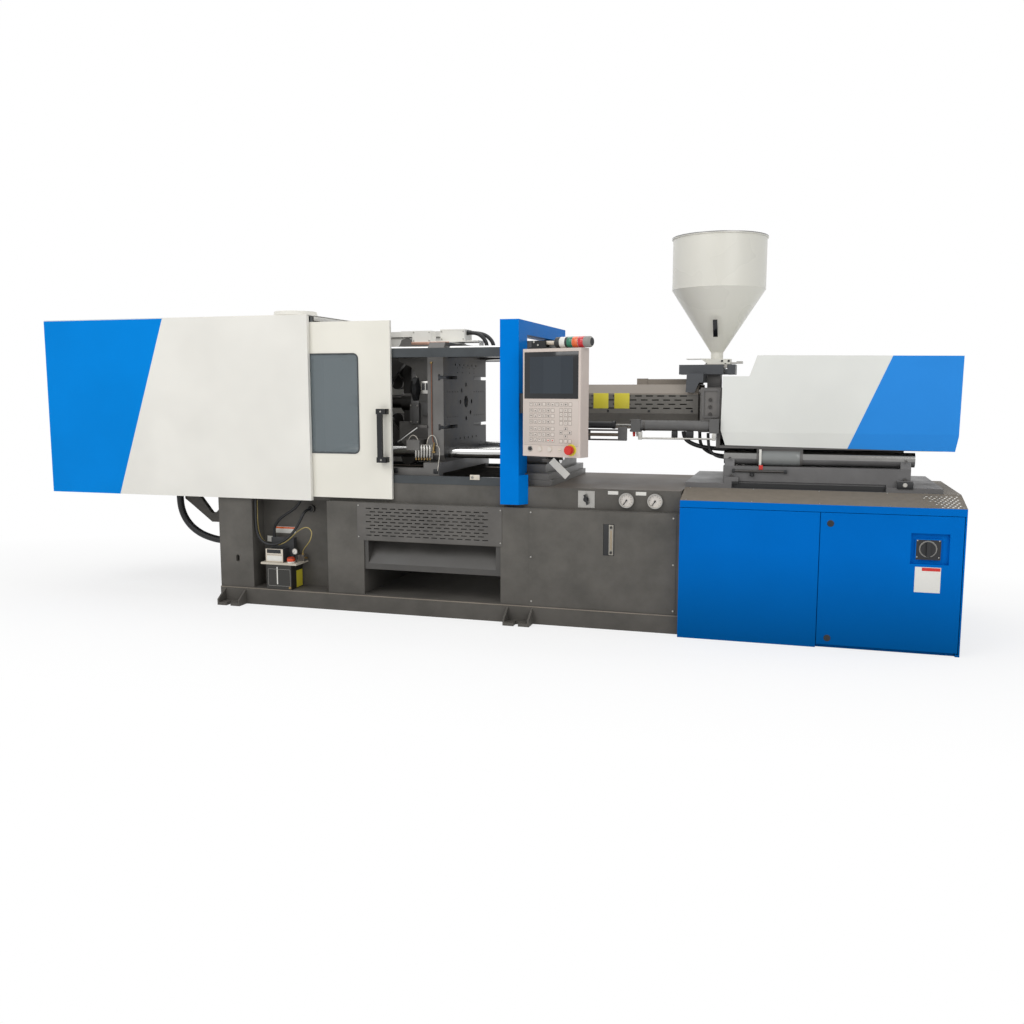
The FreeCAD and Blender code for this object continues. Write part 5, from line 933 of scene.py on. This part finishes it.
def dress_junction_box():
    """Lid, screws, manifold and glands on top of the moving platen."""
    on = "moving_platen"
    plate("junction_lid", (-238.5, -76.5, 1846), (-62.5, 76.5, 1856.5), "cover", on)
    screws("junction_screw", grid((-228, -73), -75, (1790, 1840)), on, 5)
    screws("valve_box_screw", grid((-360, -250), -250, (1773, 1828)), on, 5)
    plate("copper_manifold", (-368, -274, 1746), (-104, -265.5, 1764.5), "copper_plate", on, 1.5)
    turned("box_gland", (-64, -20, 1835), RIGHT, [(0, 18), (10, 18), (12, 15.5), (26, 14.5)], "black", on, 24)
    turned("drop_gland", (80, -20, 1680), UP, [(0, 19), (12, 19), (14, 16), (28, 14.5)], "black", on, 24)


def dress_mould_area():
    """The rail's switch and the sheet that guides parts into the chute."""
    plate("rail_switch", (141, -576, 889), (206, -567.5, 921), "cream", edge=3)
    turned("rail_switch_button", (158, -576, 905), FRONT, [(0, 8), (4, 8), (5, 6)], "grey_plastic", count=20)
    strut("chute_guard", (651, -503, 1018), (755, -503, 919), 46, 3, "cover", edge=1)
    plate("chute_guard_foot", (590, -500.5, 1005), (664, -486, 1026), "dark_steel")


# ---- injection unit --------------------------------------------------------------------------

def dress_barrel():
    """Fields and screws of the barrel cover, and the carriage's guide frame."""
    on = "carriage"
    for index, x in enumerate((856, 990)):
        plate("cover_field_%d" % (index + 1), (x, -231.2, 1334), (x + 96, -229.5, 1430), "yellow", on, 0.3)
    screws("barrel_cover_screw", grid((812, 950, 1210, 1475), -230, 1319), on, 7, "black")
    turned("rod_sleeve", (669, -380, 1236), RIGHT, [(0, 21.5), (338, 21.5), (341, 25), (356, 25), (359, 22)],
           "rubber")
    plate("cylinder_guide_block", (1051, -426, 1141), (1104, -396, 1226), "cast", edge=3)
    for index, (low, high) in enumerate(((1141, 1151), (1199, 1210))):
        plate("guide_frame_%d" % index, (861, -416, low), (1052, -405, high), "dark_steel")
    plate("guide_frame_post", (861, -416, 1141), (876, -400, 1210), "dark_steel")
    swept("guide_frame_rod", [(866, -409, 1177), (1053, -409, 1177)], 10, "brown_bar", smooth=False)


def dress_carriage():
    """The stroke scale, cylinder fittings and housing bolts."""
    on = "carriage"
    swept("scale_rod", [(1188, -426, 1159), (1632, -426, 1159)], 5.5, "zinc", on, False)
    plate("scale_clevis", (1176, -434, 1150), (1200, -412, 1197), "zinc", on, 3)
    plate("scale_foot", (1618, -434, 1150), (1640, -412, 1193), "zinc", on, 3)
    for index, (x, finish) in enumerate(((1144, "red"), (1166, "zinc"))):
        turned("gland_port_%d" % index, (x, -385, 1197), DOWN, [(0, 9), (16, 9), (18, 7.5), (30, 7.5)],
               finish, on, 16)
    for index, (low, high) in enumerate(((1374, 1408), (1460, 1504))):
        plate("cylinder_pad_%d" % index, (low, -400, 1160), (high, -360, 1204), "rubber", on, 5)
    for x in (1206, 1600):
        turned("cylinder_band_%d" % x, (x - 6, -380, 1235), RIGHT, [(0, 34), (12, 34), (13, 32.8)],
               "dark_steel", on, 40)
    screws("gland_bolt", grid(1128, (-408, -352), (1204, 1264)), on, 7, "dark_steel", LEFT, 6)
    rounded_frame("housing_rib", (1548, -351.4, 1284), (1652, -351.4, 1457), 12, 14, 4, "carriage", on)
    screws("housing_face_bolt", grid(1597, -351, (1305, 1348, 1391)), on, 11, "dark_steel", count=6)
    screws("housing_bolt", grid(1538, (-290, -270), (1255, 1330, 1410)), on, 11, "dark_steel", LEFT, 6)


def dress_hopper():
    """Screws, sight glass and rolled seam of the hopper."""
    screws("hopper_housing_screw", grid((1637, 1678), -62, 1630), "hopper", 7, "black")
    screws("hopper_foot_screw", grid((1542, 1658), (-60, 60), 1611), "hopper", 7, "dark_steel", UP, 6)
    screws("slide_bolt", grid(1650, (-84, 84), 1563), "carriage", 8, "dark_steel", RIGHT, 6)
    sight = plate("sight_glass", (1586, -178, 1765), (1614, -176, 1885), "display_edge", "hopper", 1)
    about(sight, (1600, -177, 1825), Matrix.Rotation(math.atan2(249.5, 387), 4, "X"))
    turned("hopper_seam", (1600, 0, 2069), UP, [(0, 287.8), (1, 288.4), (3, 288.4), (4, 287.8)], "hopper",
           "hopper", 96)


def dress_bed():
    """Bolts, travel scale, limit box and the wrapped sleeve on the bed."""
    screws("casting_bolt", grid((1760, 1800), -350, 1000), "base", 9, "dark_steel", UP, 6)
    screws("saddle_bolt", grid((1723, 2707), (-388, -272), 1043), "base", 8, "dark_steel", UP, 6)
    for side in (-1, 1):
        for index, x in enumerate((1737, 2704)):
            fitting("lug_bolt_%d_%d" % (side + 1, index), (x, side * 409, 936), UP,
                    [(0, 13), (2, 13), (2.2, 10), (12, 10)], "dark_steel")
    swept("travel_scale_rod", [(1742, -404, 971), (2056, -404, 971)], 7, "dark_steel", smooth=False)
    for index, x in enumerate((1748, 2048)):
        plate("scale_clamp_%d" % index, (x - 8, -413, 961), (x + 8, -394.5, 983), "black")
    turned("scale_knob", (1856, -404, 966), DOWN, [(0, 6), (8, 6), (9, 13), (22, 13), (25, 10)], "black",
           count=20)
    plate("limit_box", (2661, -434, 891), (2747, -429.5, 931), "black", edge=3)
    turned("limit_box_eye", (2703, -434, 914), FRONT, [(0, 12), (2, 12), (2.4, 9), (0.8, 8.5)], "zinc",
           count=24)
    rod_wrap = turned("rod_wrap", (1882, -330, 1050), RIGHT, [(0, 49.2), (18, 50.5), (120, 49.8), (236, 50.6),
                                                              (256, 49)], "wrap", "carriage", 48)
    smoother = rod_wrap.modifiers.new("smoother", "SUBSURF")
    smoother.levels = smoother.render_levels = 1
    select_only(rod_wrap)
    bpy.ops.object.modifier_apply(modifier=smoother.name)
    plate("wrap_strap", (1893, -384, 1004), (1907, -382.5, 1100), "white_film", "carriage", 0.5)
    plate("wrap_tag", (1894, -398, 981), (1917, -396.3, 1008), "red", "carriage", 0.5)


def dress_cabinet():
    """Deck screws and grip studs, and the door's breaker, locks and plain label."""
    slope = math.atan2(53, 251.5)        # of the deck, up from the cabinet's front edge
    upright = (0, -math.sin(slope), math.cos(slope))
    for row, y in enumerate((-662, -440)):
        z = 815 + (y + 677) * math.tan(slope)
        screws("deck_screw_%d" % row, [(x, y, z) for x in range(1500, 2990, 370)], "base", 5, "zinc", upright,
               10)
    stud = turned("grip_stud", (2800, -655, 819.7), upright, [(0, 7), (1.8, 6)], "zinc", count=8)
    pitch = 26          # of the studs; each second row stands half a pitch to the right
    places = [(pitch * (i + j % 2 / 2), pitch * j, pitch * j * math.tan(slope))
              for i in range(7) for j in range(8) if i + j / 2 > 2.5]
    copies(stud, "grip_stud", places[1:], "base")
    stud.data.transform(Matrix.Translation(Vector(places[0]) / 1000))
    plate("breaker_plate", (2752, -669.25, 530), (2878, -668.6, 640), "black", "cabinet_door", 0)
    plate("breaker_light", (2806, -670, 630), (2824, -669, 637), "lens_green", "cabinet_door", 0)
    turned("breaker_ring", (2813, -669, 590), FRONT, [(0, 46), (2, 46), (3, 44), (3, 39.5), (0.5, 39)],
           "grey_plastic", "cabinet_door", 40)
    screws("breaker_screw", grid((2758, 2869), -669, (545, 636)), "cabinet_door", 4)
    for index, (x, z) in enumerate(((2303, 712), (2309, 58))):
        turned("lock_rosette_%d" % index, (x, -677, z), FRONT, [(0, 19), (1.5, 19), (2.5, 17.5), (2.5, 14.8),
                                                                (0.5, 14.6)], "black", "cabinet_door")
    plate("door_field", (2751, -677.8, 350), (2883, -676.9, 491), "white_film", "cabinet_door", 0.3)
    plate("door_field_head", (2786, -678.2, 470), (2880, -677.6, 488), "red", "cabinet_door", 0)


make_materials()
finish_cad_nodes()
set_up_studio()
for cord in CORDS:
    lay_cord(*cord)
dress_panel()
dress_base()
dress_lubrication()
dress_guard()
dress_moving_platen()
dress_junction_box()
dress_mould_area()
dress_barrel()
dress_carriage()
dress_hopper()
dress_bed()
dress_cabinet()
